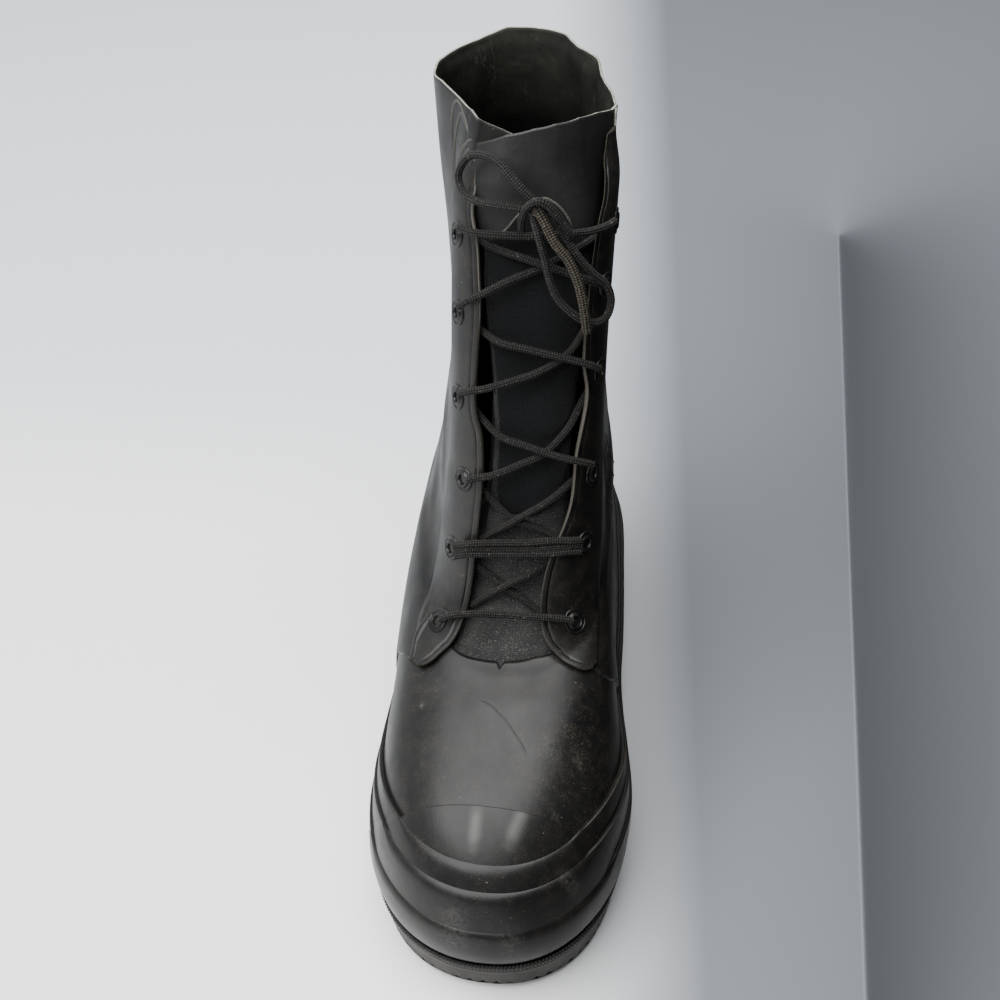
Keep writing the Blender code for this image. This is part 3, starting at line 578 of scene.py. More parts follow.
lace_yarn = braid_finish("black braided yarn", "#010101", "#3c3936", "#6b665c")
worn_yarn = braid_finish("worn olive yarn", "#0b0a08", "#5a5343", "#8a836c")
felt = cut_edge("pressed wool felt", "#3c3b37", "#5b5952", 2.0)

# %% [markdown]
# ## The shell
#
# The shell is one dipped rubber wall round foot and leg. Three things shape its face besides the
# last. The *quarter*, the sheet that makes the leg and the heel, lies over the *vamp*, the sheet
# over the toes, so there is a step along their seam. On the inner ankle several reinforcing
# sheets end in a fan of fine steps. And the soft leg has a few broad folds.
#
# Steps could be separate sheets, but they are only a millimetre high and blend away behind, so
# they are written as *relief*: how far the face stands out of the last at each place.

# %% Where the seams run
# level and turn of the quarter's front seam, on the outer and on the inner side
OUTER_SEAM = (
    (3, 0.285), (4, 0.289), (4.8, 0.303), (5.4, 0.323), (5.78, 0.337), (6.05, 0.350),
    (6.31, 0.361), (6.45, 0.368), (7, 0.3685), (8, 0.3685), (15, 0.3685),
)  # fmt: skip
INNER_SEAM = (
    (3, 0.716), (4, 0.704), (4.97, 0.680), (5.6, 0.660), (5.99, 0.647), (6.38, 0.636),
    (6.67, 0.623), (6.87, 0.6135), (7.3, 0.622), (8, 0.634), (9, 0.634), (15, 0.676),
)  # fmt: skip
SEAM_HALF = 0.0006  # half the seam's width, as a turn
QUARTER_STEP = 1.3
# the throat's two edges: level, outer, inner
THROAT = (
    (8, 0.370, 0.630), (10, 0.375, 0.625), (11, 0.378, 0.630), (12, 0.376, 0.635),
    (13, 0.374, 0.642), (13.8, 0.368, 0.672), (15, 0.372, 0.664),
)  # fmt: skip
# the vamp's own edge under the tongue: turn, level
THROAT_LINE = (
    (0.370, 7.9), (0.400, 7.93), (0.438, 7.99), (0.467, 8.11), (0.484, 8.15), (0.499, 8.18),
    (0.525, 8.27), (0.545, 8.23), (0.590, 8.15), (0.630, 8.05),
)  # fmt: skip
NOTCH_TURN = 0.493
# the fan of sheet ends on the inner ankle: level, turn of its first line, gap to the next line
ANKLE_FAN = (
    (7.2, 0.770, 0.013), (7.96, 0.748, 0.014), (9.0, 0.722, 0.014), (10.13, 0.697, 0.011),
    (10.6, 0.674, 0.006), (11.05, 0.652, 0.002), (11.5, 0.640, 0.0),
)  # fmt: skip
# soft folds: level and turn at one end, at the other end, half width in mm, height in mm
FOLDS = (
    (8.6, 0.300, 9.8, 0.180, 9.0, -1.0),
    (9.4, 0.320, 10.6, 0.210, 8.0, 0.8),
    (10.2, 0.290, 11.5, 0.200, 9.0, -0.6),
    (8.4, 0.700, 9.6, 0.820, 9.0, -0.9),
    (9.6, 0.860, 10.6, 0.780, 8.0, 0.7),
    (11.6, 0.270, 13.6, 0.245, 10.0, -0.8),
    (13.4, 0.215, 15.0, 0.195, 9.0, 0.7),
    (12.6, 0.120, 15.0, 0.090, 12.0, -1.0),
    (13.0, 0.900, 15.0, 0.930, 12.0, -0.9),
    (13.6, 0.780, 15.0, 0.800, 9.0, 0.9),
    (13.9, 0.830, 15.0, 0.850, 7.0, -1.1),
    (6.8, 0.450, 6.9, 0.540, 12.0, 0.3),
)


def near_stroke(level, turn, stroke):
    """How near places are to a stroke on the skin: 1 on it, 0 half a width off it and beyond."""
    level_a, turn_a, level_b, turn_b, wide = stroke[:5]
    points = last_points(level, turn)
    a, b = last_points([level_a, level_b], np.array([turn_a, turn_b]))
    along = np.clip((points - a) @ (b - a) / ((b - a) @ (b - a)), 0, 1)
    off = np.linalg.norm(points - a - along[:, None] * (b - a), axis=1)
    ends = ease(0, 0.3, along) * ease(0, 0.3, 1 - along)
    return (1 - ease(0, wide, off)) * mix(0.35, 1, ends)


def relief(level, turn):
    """How far the shell's face stands out of the last, in mm."""
    level, turn = (np.ravel(a) for a in np.broadcast_arrays(np.asarray(level, float), turn))
    outer = read(OUTER_SEAM, level, 1)
    inner = read(INNER_SEAM, level, 1)
    behind = np.maximum(outer - turn, turn - inner)
    face = QUARTER_STEP * ease(-SEAM_HALF, SEAM_HALF, behind) * (1 - 0.7 * ease(0.0, 0.11, behind))
    face = face * (1 - ease(7.2, 8.2, level))  # the sheets end under the lace stays
    first = read(ANKLE_FAN, level, 1)
    shown = ease(7.2, 8.0, level) * (1 - ease(11.1, 11.5, level))
    beyond = turn - first
    face = face + 0.9 * shown * ease(0, 0.03, beyond) * (1 - ease(0.06, 0.14, beyond))
    front = ease(0.36, 0.42, turn) * (1 - ease(0.58, 0.64, turn))
    filled = 0.85 * ease(7.0, 7.7, level) * (1 - 2.1 * ease(7.75, 8.35, level))
    face = face + front * filled  # the vamp runs straight up to the throat
    for fold in FOLDS:
        face = face + fold[5] * near_stroke(level, turn, fold)
    return face


print("seam step at the outer flap:", relief(6.2, np.array([0.34, 0.37])).round(2), "mm")

# %% [markdown]
# The shell's columns don't stand at even turns. They follow the seams and the throat, so that a
# step falls between two columns and the throat's edge is a clean line. The faces across the
# throat are then dropped, and the wall gets its thickness with Solidify, thick and insulated at
# the foot, thin at the collar.

# %% Building the shell
COLUMNS = (  # how many columns in each stretch round the boot
    ("heel to outer seam", 84), ("outer seam", 1), ("to the throat", 6), ("throat to notch", 30),
    ("notch", 12), ("notch to throat", 30), ("to inner seam", 6), ("inner seam", 1),
    ("ankle fan", 52), ("to the heel", 34),
)  # fmt: skip
ROWS_BETWEEN = (1, 1, 2, 6, 9, 11, 13, 14, 13, 14, 17, 17, 17, 17, 20)
THROAT_ROW = sum(ROWS_BETWEEN[:8])
ACROSS = sum(count for _, count in COLUMNS)
ALONG = sum(ROWS_BETWEEN)


def column_guides(level):
    """The turns where the stretches meet, for each level."""
    outer = read(OUTER_SEAM, level, 1)
    inner = read(INNER_SEAM, level, 1)
    left = np.maximum(read(THROAT, level, 1), outer + SEAM_HALF + 0.0008)
    right = np.minimum(read(THROAT, level, 2), inner - SEAM_HALF - 0.0008)
    zero = 0 * outer
    return np.stack([
        zero, outer - SEAM_HALF, outer + SEAM_HALF, left, zero + NOTCH_TURN - 0.008,
        zero + NOTCH_TURN + 0.008, right, inner - SEAM_HALF, inner + SEAM_HALF, zero + 0.79,
        zero + 1,
    ], 1)  # fmt: skip


def shell_places(u, v):
    row = v * ALONG
    level = np.interp(row, np.concatenate([[0], np.cumsum(ROWS_BETWEEN)]), np.arange(TOP + 1))
    column = u * ACROSS
    ends = np.concatenate([[0], np.cumsum([count for _, count in COLUMNS])])
    guides = column_guides(level)
    stretch = np.clip(np.searchsorted(ends, column + 1e-6, side="right") - 1, 0, len(COLUMNS) - 1)
    share = (column - ends[stretch]) / (ends[stretch + 1] - ends[stretch])
    index = np.arange(len(u))
    turn = mix(guides[index, stretch], guides[index, stretch + 1], share)
    wanted = np.interp(turn, *zip(*THROAT_LINE)) - 8
    wanted = wanted - 0.2 * (1 - np.clip(np.abs(turn - NOTCH_TURN) / 0.0035, 0, 1))
    front = ease(0.33, 0.375, turn) * (1 - ease(0.625, 0.67, turn))
    level = level + wanted * front * (1 - ease(0, 0.8, np.abs(level - 8)))
    return level, turn


# the cut top isn't level: turn, how far it stands over the last's flat top, in mm
COLLAR_RISE = (
    (0, -1.2), (0.022, -0.6), (0.048, -2.2), (0.076, -3.0), (0.109, -2.6), (0.138, -1.8),
    (0.167, -0.5), (0.2, 1.4), (0.22, 1.8), (0.25, 4.0), (0.283, 6.5), (0.307, 6.3), (0.333, 6.1),
    (0.376, 6.2), (0.402, 3.6), (0.429, 2.7), (0.46, 1.2), (0.6, 0), (0.66, -1.5), (0.694, -3.4),
    (0.71, -1.8), (0.73, -2.2), (0.755, -3.4), (0.772, -4.3), (0.782, -2.6), (0.792, 0.1),
    (0.812, -0.7), (0.84, -1.8), (0.856, -2.4), (0.878, -1.9), (0.892, -0.5), (0.92, -0.9),
    (0.964, -1.5), (1, -1.2),
)  # fmt: skip


def collar_wave(level, turn):
    return ease(14.1, 15, level) * np.interp(turn % 1.0, *zip(*COLLAR_RISE))


def place_shell(u, v):
    level, turn = shell_places(u, v)
    points = skin(level, turn, relief(level, turn))
    points[:, 2] += collar_wave(level, turn)
    return points, mapped(turn, level)


def in_throat(u, v):
    first = sum(count for _, count in COLUMNS[:3]) / ACROSS
    last = sum(count for _, count in COLUMNS[:6]) / ACROSS
    return first < u < last and v * ALONG > THROAT_ROW


def marks_of(piece):
    """The map's pair, turn and level, at every vertex."""
    mesh = piece.data
    corners = np.zeros(len(mesh.loops), np.int32)
    mesh.loops.foreach_get("vertex_index", corners)
    pairs = np.zeros(2 * len(mesh.loops), np.float32)
    mesh.uv_layers[0].uv.foreach_get("vector", pairs)
    marks = np.zeros((len(mesh.vertices), 2))
    marks[corners] = pairs.reshape(-1, 2)
    return marks[:, 0], marks[:, 1] * TOP


def paint(piece, name, amount):
    """A number for each vertex, from amount(level, turn), kept as an attribute."""
    turn, level = marks_of(piece)
    layer = piece.data.attributes.new(name, "FLOAT", "POINT")
    layer.data.foreach_set("value", np.broadcast_to(amount(level, turn), turn.shape).astype(np.float32))


# level, turn, level, turn, half width in mm, strength
DUSTY = (
    (7.6, 0.640, 9.6, 0.632, 13, 1.0), (6.0, 0.600, 5.2, 0.585, 20, 0.6),
    (8.0, 0.395, 8.6, 0.380, 14, 0.5), (6.9, 0.540, 5.6, 0.500, 26, 0.6),
    (13.0, 0.660, 14.2, 0.650, 12, 0.6), (3.6, 0.640, 2.6, 0.600, 18, 0.9),
)  # fmt: skip
SCUFFED = (
    (6.16, 0.402, 6.04, 0.400, 1.6, 0.8), (5.6, 0.588, 4.9, 0.602, 3.0, 0.35),
    (6.45, 0.545, 5.6, 0.568, 5.0, 0.2), (4.7, 0.560, 4.5, 0.566, 2.0, 0.3),
    (2.9, 0.478, 1.0, 0.482, 9.0, 0.28), (2.2, 0.515, 0.6, 0.520, 7.0, 0.24),
    (3.3, 0.560, 2.4, 0.575, 5.0, 0.3),
)  # fmt: skip


def strokes_of(table):
    def amount(level, turn):
        total = 0 * turn
        for stroke in table:
            total = np.maximum(total, stroke[5] * near_stroke(level, turn, stroke))
        return total

    return amount


def aged(piece):
    paint(piece, "dust", strokes_of(DUSTY))
    paint(piece, "scuff", strokes_of(SCUFFED))
    return piece


def unmarked(piece, dust=0.0):
    """Even dust and no scuffs, for small pieces and unmarked ones."""
    paint(piece, "dust", lambda level, turn: 0 * turn + dust)
    paint(piece, "scuff", lambda level, turn: 0 * turn)
    return piece


shell = lofted("shell", ACROSS, ALONG, place_shell, merge=True, drop=in_throat)
aged(shell)
_, levels = marks_of(shell)
walls = through(ROWS, levels)[:, LAST_COLUMNS.index("wall")]
walls = walls * mix(1, 0.5, ease(14.75, 15, levels))  # the rim is rolled thin
sharpen(shell, 50)
wall(shell, walls.max(), walls / walls.max(), inner=1, rim=2)
finished(shell, "shell_rubber", [shell_rubber, lining, rim_edge], "upper")

# %% [markdown]
# ## The plies
#
# Three rubber strips run right round the boot over the foot. Each stands out one ply less than
# the one below it, so they make three steps. Behind the toe cap's line their upper edges are
# crisp. In front of it one more thin sheet lies over all of them and rounds the steps off. That
# sheet is part of the strips' own shape, and their columns follow its edge.
#
# A strip is lofted as a closed tube round the boot: up the face, over the rounded edge, and down
# its back. Solidify would give the strip its thickness too, but not an edge whose roundness
# changes on the way round.

# %% The stepped strips
PLY_GAP = 0.6
PLY = 1.3
CAP_LINE = -199.5  # y of the toe cap's straight rear edge
# where the cap sheet's edge runs down over the strips, outer and inner side: level, turn
CAP_OUTER = (
    (0, 0.350), (1.5, 0.366), (2.44, 0.381), (2.97, 0.391), (3.73, 0.409), (4.03, 0.417), (5, 0.44),
)  # fmt: skip
CAP_INNER = (
    (0, 0.645), (1.55, 0.630), (2.76, 0.612), (3.65, 0.591), (4.0, 0.580), (4.33, 0.570), (5, 0.55),
)  # fmt: skip
CAP_EDGE_HALF = 0.0006  # how far the columns next to that edge stand from it, as a turn
# columns are moved to follow the edge between these turns, and stand even beyond them
SHIFT_FROM, SHIFT_TO = 0.28, 0.74
# upper edge of each strip: height in mm at the toe, the waist and the heel
PLY_EDGES = {
    "foxing": (45.0, 37.0, 43.0),
    "bumper_middle": (60.5, 46.0, 53.0),
    "bumper_upper": (68.5, 54.0, 63.0),
}
ROUND = 361  # columns round the boot


def ply_level(turn, toe, waist, heel):
    s = toe_share(turn)
    height = np.where(
        s > 0.45,
        mix(waist, toe, ease(0.55, 0.97, s)),
        mix(heel, waist, ease(0.05, 0.42, s)),
    )
    return level_where(turn, lambda points: points[:, 2] >= height)


def strip_columns(u, level):
    """Each column's turn, one column close on either side of the cap sheet's edge; and that edge."""
    pitch = 1 / (ROUND - 1)
    outer_at, inner_at = (round(at / pitch) * pitch for at in (0.39, 0.605))
    start, end = read(CAP_OUTER, level, 1), read(CAP_INNER, level, 1)
    first, last = start + CAP_EDGE_HALF, end - CAP_EDGE_HALF
    before = mix(SHIFT_FROM, start - CAP_EDGE_HALF, (u - SHIFT_FROM) / (outer_at - SHIFT_FROM))
    between = first + (last - first) * (u - outer_at - pitch) / (inner_at - outer_at - pitch)
    along = (u - inner_at - pitch) / (SHIFT_TO - inner_at - pitch)
    after = mix(end + CAP_EDGE_HALF, SHIFT_TO, along)
    turn = np.where(u < inner_at + 0.5 * pitch, between, after)
    turn = np.where(u < outer_at + 0.5 * pitch, before, turn)
    return np.where((u < SHIFT_FROM) | (u > SHIFT_TO), u, turn), start, end


def strip_of(name, number, low_of, high_of):
    """A closed strip: its face from low to high, its thickness by number of plies."""
    turns = np.linspace(0, 1, ROUND)
    low, high = low_of(turns), high_of(turns)
    rise = mm_per_level(high, turns)
    thick = PLY * (3 - number)
    face, edge, back = 12, 8, 2  # rows up the face, over the edge and down the back
    count = face + edge + back + 1

    def place(u, v):
        k = v * count
        up = np.clip(k / face, 0, 1)
        level = mix(np.interp(u, turns, low), np.interp(u, turns, high), up)
        turn, start, end = strip_columns(u, level)
        lo, hi, mm = (np.interp(turn, turns, a) for a in (low, high, rise))
        inside = np.minimum(turn - start, end - turn)
        ahead = ease(-0.0005, 0.0005, inside)  # 1 under the cap sheet
        rounded = ahead * ease(0, 0.02, inside)
        foot = (1 - ease(0, 0.9, level)) * ease(0.6, 0.9, toe_share(turn))
        tucked = 2.0 * foot if number == 0 else 0  # the lowest strip runs in under the toe
        top = PLY_GAP + thick + 0.28 * ahead + 0.27 * rounded - tucked
        tall = mix(0.8, 5.5, rounded)
        deep = np.minimum(mix(0.8, 3.0, rounded), top - 0.25)
        over = np.clip((k - face) / edge, 0, 1) * np.pi / 2
        down = np.clip((k - face - edge) / back, 0, 1)
        level = mix(lo, hi - tall / mm, up) + np.where(k > face, tall / mm * np.sin(over), 0)
        level = mix(level, lo, down)
        out = np.where(k <= face, top, top - deep + deep * np.cos(over))
        out = np.where(k > face + edge, 0.1, out)
        out = np.where(k >= count, top, out)
        level = np.where(k >= count, lo, level)
        return skin(level, turn, out), mapped(turn, level)

    made = lofted(name, ROUND - 1, count, place, merge=True)
    sharpen(made, 50)
    return aged(made)


FOXING_FOOT = 0.06
below = None
for number, (name, edge) in enumerate(PLY_EDGES.items()):
    high_of = lambda turn, edge=edge: ply_level(turn, *edge)
    low_of = lambda turn: 0 * turn + FOXING_FOOT
    if below is not None:
        low_of = lambda turn, edge=below: ply_level(turn, *edge) - 0.12
    finished(strip_of(name + "_strip", number, low_of, high_of), "ply_rubber", [ply_rubber], name)
    below = edge

# %% [markdown]
# ** The toe cap** is the thin sheet in front of the straight line over the toes. Its rear edge is
# crisp, half a millimetre of roundness, and its front dives under the top strip. Two soft ridges
# on it are pale, partly from wear and partly as painted highlight.

# %% The toe cap
CAP_THICK = 0.9
# two soft upright ridges, pale partly from wear and partly as painted highlight:
# level, turn, level, turn, half width, how pale
CAP_RIDGES_WEAR_AND_HIGHLIGHT = ((5.1, 0.488, 4.2, 0.489, 4.0, 1.0), (5.1, 0.531, 4.3, 0.517, 4.4, 0.85))


def place_cap(u, v):
    turn = mix(0.378, 0.622, u)
    low = ply_level(turn, *PLY_EDGES["bumper_upper"]) - 0.1
    high = level_where(turn, lambda points: points[:, 1] >= CAP_LINE)
    high = np.maximum(high, low + 0.02)
    mm = mm_per_level(high, turn)
    up = np.clip(v / 0.8, 0, 1)
    over = np.clip((v - 0.8) / 0.2, 0, 1)
    level = mix(low, high - 0.5 / mm, up) + 0.5 / mm * np.sin(over * np.pi / 2)
    out = PLY_GAP + CAP_THICK - 0.5 + 0.5 * np.cos(over * np.pi / 2) - 1.1 * ease(0.75, 1, over)
    for stroke in CAP_RIDGES_WEAR_AND_HIGHLIGHT:
        out = out + 0.22 * near_stroke(level, turn, stroke)
    return skin(level, turn, out), mapped(turn, level)


toe_cap = lofted("toe_cap_sheet", 120, 60, place_cap)
paint(toe_cap, "dust", strokes_of(DUSTY))
# painted highlight, partly wear: the pale streaks along the cap's two ridges
paint(toe_cap, "worn", strokes_of(CAP_RIDGES_WEAR_AND_HIGHLIGHT))
sharpen(toe_cap, 50)
wall(toe_cap, 0.5)
finished(toe_cap, "ply_rubber", [ply_rubber], "toe_cap")

# %% [markdown]
# ## The sole
#
# The outsole is a thick slab with a side wall that leans in, fine upright moulding lines on that
# wall, and a lower edge cut into soft scallops by the tread. Round the toe it stands out further.
# Where it meets the lowest strip runs a knurled bead, rolled with a toothed wheel, about 1.5 mm
# from tooth to tooth.
#
# The wall and the tread are two grids. The wall goes round; the tread goes from side to side and
# from heel to toe, and its grooves are written as height.

# %% The outsole's heights
TOE_SPRING = 6.5
ARCH_RISE = 4.5
GROOVE = 4.0
GAP = 0.35
CROSS_GROOVES = (48, 33, 18, -75, -89, -103, -117, -131, -145, -159, -173, -187)
SCALLOP = 5.6  # mm from scallop to scallop
LINE_DEPTH, LINES_PER_SCALLOP = 0.16, 4  # the moulding lines on the wall
TOOTH = 1.5  # mm from tooth to tooth of the bead


def sole_floor(s):
    arch = ARCH_RISE * ease(0.31, 0.36, s) * (1 - ease(0.44, 0.56, s))
    return arch + TOE_SPRING * ease(0.78, 1.06, s) ** 1.2


def sole_top(s):
    zb, zf = ROWS[0][2], ROWS[0][5]
    return mix(zb, zf, s) - GAP


def toe_push(s):
    """The outsole stands out further round the toe, so that its edge shows from above."""
    return 3.0 * ease(0.8, 0.98, s)


def travelled(turns, out):
    """Distance in mm walked round the feather edge, for each turn."""
    points = skin(0, turns, out)
    steps = np.linalg.norm(np.diff(points, axis=0), axis=1)
    return np.concatenate([[0], np.cumsum(steps)])


def even_turns(count):
    """Turns at equal distances round the feather edge."""
    fine = np.linspace(0, 1, 4001)
    walked = travelled(fine, 2.0)
    return np.interp(np.linspace(0, walked[-1], count), walked, fine), walked[-1]


WALL_COLUMNS = 1296
wall_turns, girth = even_turns(WALL_COLUMNS + 1)
scallops = round(girth / SCALLOP)
print("sole girth", round(girth), "mm,", scallops, "scallops")


def place_wall(u, v):
    turn = np.interp(u, np.linspace(0, 1, WALL_COLUMNS + 1), wall_turns)
    s = toe_share(turn)
    low, high = sole_floor(s), sole_top(s)
    scallop = np.abs(np.sin(np.pi * u * scallops))  # 0 at a cut, 1 on a lug
    cut = 1 - scallop
    toe_or_heel = 0.35 + 0.65 * ease(0.42, 0.62, np.abs(s - 0.2))
    rise = cut * (1 - v) ** 3 * 1.5 * toe_or_heel
    lines = LINE_DEPTH * np.sin(2 * np.pi * u * scallops * LINES_PER_SCALLOP)
    lines = lines * ease(0.15, 0.3, v) * (1 - ease(0.7, 0.85, v))
    lip = 0.5 * ease(0.78, 0.86, v) * (1 - ease(0.96, 1.0, v))
    out = mix(1.0, 2.7, ease(0, 1, v)) + lines + lip - 0.5 * cut * (1 - v) ** 4
    out = out - 0.8 * (1 - ease(0, 0.08, v))
    points = skin(0, turn, out + toe_push(s))
    points[:, 2] = mix(low, high, v) + rise
    return points, np.stack([turn, 0 * turn], 1)


def outer_turn(v):
    """The outer side's turn at a share of the way from heel to toe; the inner's is 1 minus it."""
    return np.clip(0.5 * np.arccos(1 - 2 * np.clip(v, 0.0004, 0.9996)) / np.pi, 0.0005, 0.4995)


def place_tread(u, v):
    """Side to side by u, heel to toe by v; the side away from the foot."""
    half = outer_turn(v)
    push = toe_push(toe_share(half))
    outer, inner = skin(0, half, 0.6 + push), skin(0, 1 - half, 0.6 + push)
    points = outer * (1 - u)[:, None] + inner * u[:, None]
    s = toe_share(half)
    y = points[:, 1]
    depth = 0 * y
    for at in CROSS_GROOVES:
        depth = np.maximum(depth, 1 - ease(GROOVE / 2 - 0.6, GROOVE / 2 + 0.6, np.abs(y - at)))
    from_side = np.minimum(u, 1 - u) * np.linalg.norm(outer - inner, axis=1)
    depth = depth * ease(8, 9.5, from_side)
    notch = (np.abs((y + 200) % 9 - 4.5) < 1.6) * (1 - ease(6, 7, from_side))
    depth = np.maximum(depth, notch * ease(0.0, 1.0, from_side))
    points[:, 2] = sole_floor(s) + GROOVE * 0.9 * depth
    return points, np.stack([half, 0 * half], 1)


sole_rubber = rubber("outsole rubber", "#1d1c1b", "#302e2b", 0.46, bloom=0.6, specks=0.4)
outsole_wall = lofted("outsole_wall", WALL_COLUMNS, 12, place_wall, merge=True)
aged(outsole_wall)
finished(outsole_wall, "sole_rubber", [sole_rubber], "outsole")
tread = lofted("outsole_tread", 90, 300, place_tread)
bpy.context.view_layer.update()
tread.data.flip_normals()
sharpen(tread, 40)
aged(tread)
finished(tread, "sole_rubber", [sole_rubber])

# %% The knurled bead
BEAD_TEETH = round(girth / TOOTH)
BEAD_COLUMNS = BEAD_TEETH * 5
bead_turns, _ = even_turns(BEAD_COLUMNS + 1)


def place_bead(u, v):
    turn = np.interp(u, np.linspace(0, 1, BEAD_COLUMNS + 1), bead_turns)
    angle = 2 * np.pi * v
    tooth = 0.5 + 0.5 * np.cos(2 * np.pi * (u * BEAD_TEETH + v))
    radius = 0.85 + 0.6 * tooth
    points = skin(0, turn, 3.0 + 0.9 * toe_push(toe_share(turn)) + radius * np.cos(angle))
    points[:, 2] = sole_top(toe_share(turn)) + 1.5 - 1.2 * radius * np.sin(angle)
    return points, np.stack([turn, v], 1)


bead_rubber = rubber("knurled black rubber", "#0a0a0a", "#161616", 0.4, bloom=0.4, specks=0.3)
bead = lofted("knurled_bead", BEAD_COLUMNS, 8, place_bead, merge=True)
aged(bead)
finished(bead, "sole_rubber", [bead_rubber])

# %% [markdown]
# ** The insole** is a pressed felt sole that lies loose in the boot. It's a plain sheet cut to the
# inside of the wall, so it's one grid from side to side, with thickness.

# %% The felt insole
INSOLE_THICK = 4.5


def place_insole(u, v):
    half = outer_turn(v)
    inset = -(through(ROWS, np.array([0.5]))[0][-1] + 1.8)
    outer, inner = skin(0.3, half, inset), skin(0.3, 1 - half, inset)
    points = outer * (1 - u)[:, None] + inner * u[:, None]
    points[:, 2] = sole_top(toe_share(half)) + PLY_GAP + INSOLE_THICK
    return points, np.stack([half, u], 1)


insole = lofted("felt_insole", 24, 80, place_insole)
wall(insole, INSOLE_THICK)
finished(insole, "felt", [felt], "insole")

# %% [markdown]
# ## Tongue, panel and gusset
#
# Behind the laces the boot is closed by one long tongue. Its lower half is coarse cloth, then a
# fine knit, and its top is a smooth sheet of rubber, cut straight at the collar. On the outer side
# a fold of rubber, the *gusset*, joins it to the shell.
#
# The tongue's table says how deep its face lies under the last at its two sides and its middle.

# %% The tongue's places
# level, turns of its outer and inner side, face in mm off the last: outer, middle, inner
TONGUE = (
    (8.05, 0.386, 0.614, -3.2, -2.0, -3.2),
    (9, 0.395, 0.605, -6.0, -3.5, -6.0),
    (10, 0.400, 0.600, -8.0, -5.2, -8.5),
    (11, 0.400, 0.602, -8.0, -5.2, -9.0),
    (12, 0.400, 0.605, -8.0, -5.2, -9.0),
    (13, 0.400, 0.610, -7.0, -5.2, -7.5),
    (13.6, 0.400, 0.625, -4.5, -5.2, -5.0),
    (14, 0.400, 0.650, -2.0, -5.4, -3.5),
    (14.5, 0.399, 0.670, 1.0, -6.5, -0.8),
    (15, 0.396, 0.675, 2.2, -7.5, -0.5),
)
# level, turn where the padded middle ends on the outer side; a dark channel lies beside it
PAD_SIDE = (
    (9.6, 0.460), (10.9, 0.474), (11.65, 0.4755), (12.0, 0.471), (12.3, 0.466), (12.65, 0.459),
    (12.9, 0.447), (13.2, 0.435), (13.55, 0.429), (13.9, 0.428),
)  # fmt: skip


def tongue_sides(level):
    return read(TONGUE, level, 1), read(TONGUE, level, 2)


def across_tongue(level, turn):
    """0 at the tongue's outer side, 1 at its inner side."""
    left, right = tongue_sides(level)
    return (turn - left) / (right - left)


def tongue_out(level, across):
    """How far the tongue's face stands out of the last, in mm."""
    low, middle, high = (read(TONGUE, level, k) for k in (3, 4, 5))
    left, right = tongue_sides(level)
    side = read(PAD_SIDE, level, 1)
    channel = 1 - ease(side - 0.018, side - 0.001, mix(left, right, across))
    channel = channel * ease(9.9, 10.8, level) * (1 - ease(13.3, 13.9, level))
    return (
        low * (1 - across) * (1 - 2 * across)
        + middle * 4 * across * (1 - across)
        + high * across * (2 * across - 1)
        - 6.5 * channel
    )


def tongue_sheet(name, first, last, across, along, more, rise=None):
    """The stretch of the tongue between two levels, `more` mm in front of the tongue's face."""

    def place(u, v):
        level = mix(first, last, v)
        turn = mix(*tongue_sides(level), u)
        points = skin(level, turn, tongue_out(level, u) + more(level, u))
        if rise is not None:
            points[:, 2] += rise(level, turn)
        return points, mapped(turn, level)

    return lofted(name, across, along, place)


def cloth_puckers(level, across):
    """Soft cross folds where the cloth is drawn together by the laces."""
    fold = np.sin(level * 9.0 + across * 2.2) * 0.35 + np.sin(level * 17.0 - across * 4.0) * 0.18
    return fold * ease(0, 0.15, across) * ease(0, 0.15, 1 - across)


base = tongue_sheet("tongue_cloth", 7.75, 12.4, 90, 110, cloth_puckers)
wall(base, 1.6)
finished(base, "knit", [gusset_cloth], "tongue")

# %% [markdown]
# **The knit** is a tall patch with an arched top and a round foot, sewn over the cloth below and
# the rubber above. It has two layers, the upper one ending in a second round edge. Each is a
# grid whose columns run from a foot curve to a top curve, so the outline is the grid's own edge
# and needs no cutting.

# %% The knit patch
FOOT_FROM, TOP_FROM, KNIT_TO = 0.474, 0.430, 0.60  # turns where its curves start and end
KNIT_TOP = (  # turn, level
    (0.428, 13.5), (0.438, 13.84), (0.469, 14.04), (0.477, 14.12), (0.485, 14.21), (0.495, 14.32),
    (0.505, 14.38), (0.514, 14.35), (0.527, 14.26), (0.540, 14.12), (0.546, 14.02), (0.57, 13.85),
    (0.60, 13.6),
)  # fmt: skip
KNIT_FOOT = (
    (0.474, 11.15), (0.478, 10.95), (0.485, 10.8), (0.497, 10.68), (0.507, 10.67), (0.531, 10.8),
    (0.55, 10.98), (0.575, 11.35), (0.60, 11.9),
)  # fmt: skip
SECOND_FOOT = (
    (0.474, 11.95), (0.480, 11.77), (0.493, 11.62), (0.505, 11.54), (0.521, 11.55), (0.552, 11.68),
    (0.60, 12.1),
)  # fmt: skip


def knit_layer(name, foot, more, along):
    def place(u, v):
        low = np.interp(mix(FOOT_FROM, KNIT_TO, u), *zip(*foot))
        high = np.interp(mix(TOP_FROM, KNIT_TO, u), *zip(*KNIT_TOP))
        level = mix(low, high, v)
        turn = mix(read(PAD_SIDE, level, 1), KNIT_TO, u)
        across = across_tongue(level, turn)
        edge = ease(0, 0.05, u) * ease(0, 0.03, v)
        out = tongue_out(level, across) + cloth_puckers(level, across) * 0.6
        out = out + 1.6 + more * edge - 2.5 * (1 - ease(0, 0.06, u))
        return skin(level, turn, out), mapped(turn, level)

    made = lofted(name, 64, along, place)
    wall(made, 0.9, rim=1)
    return finished(made, "knit", [knit, binding])


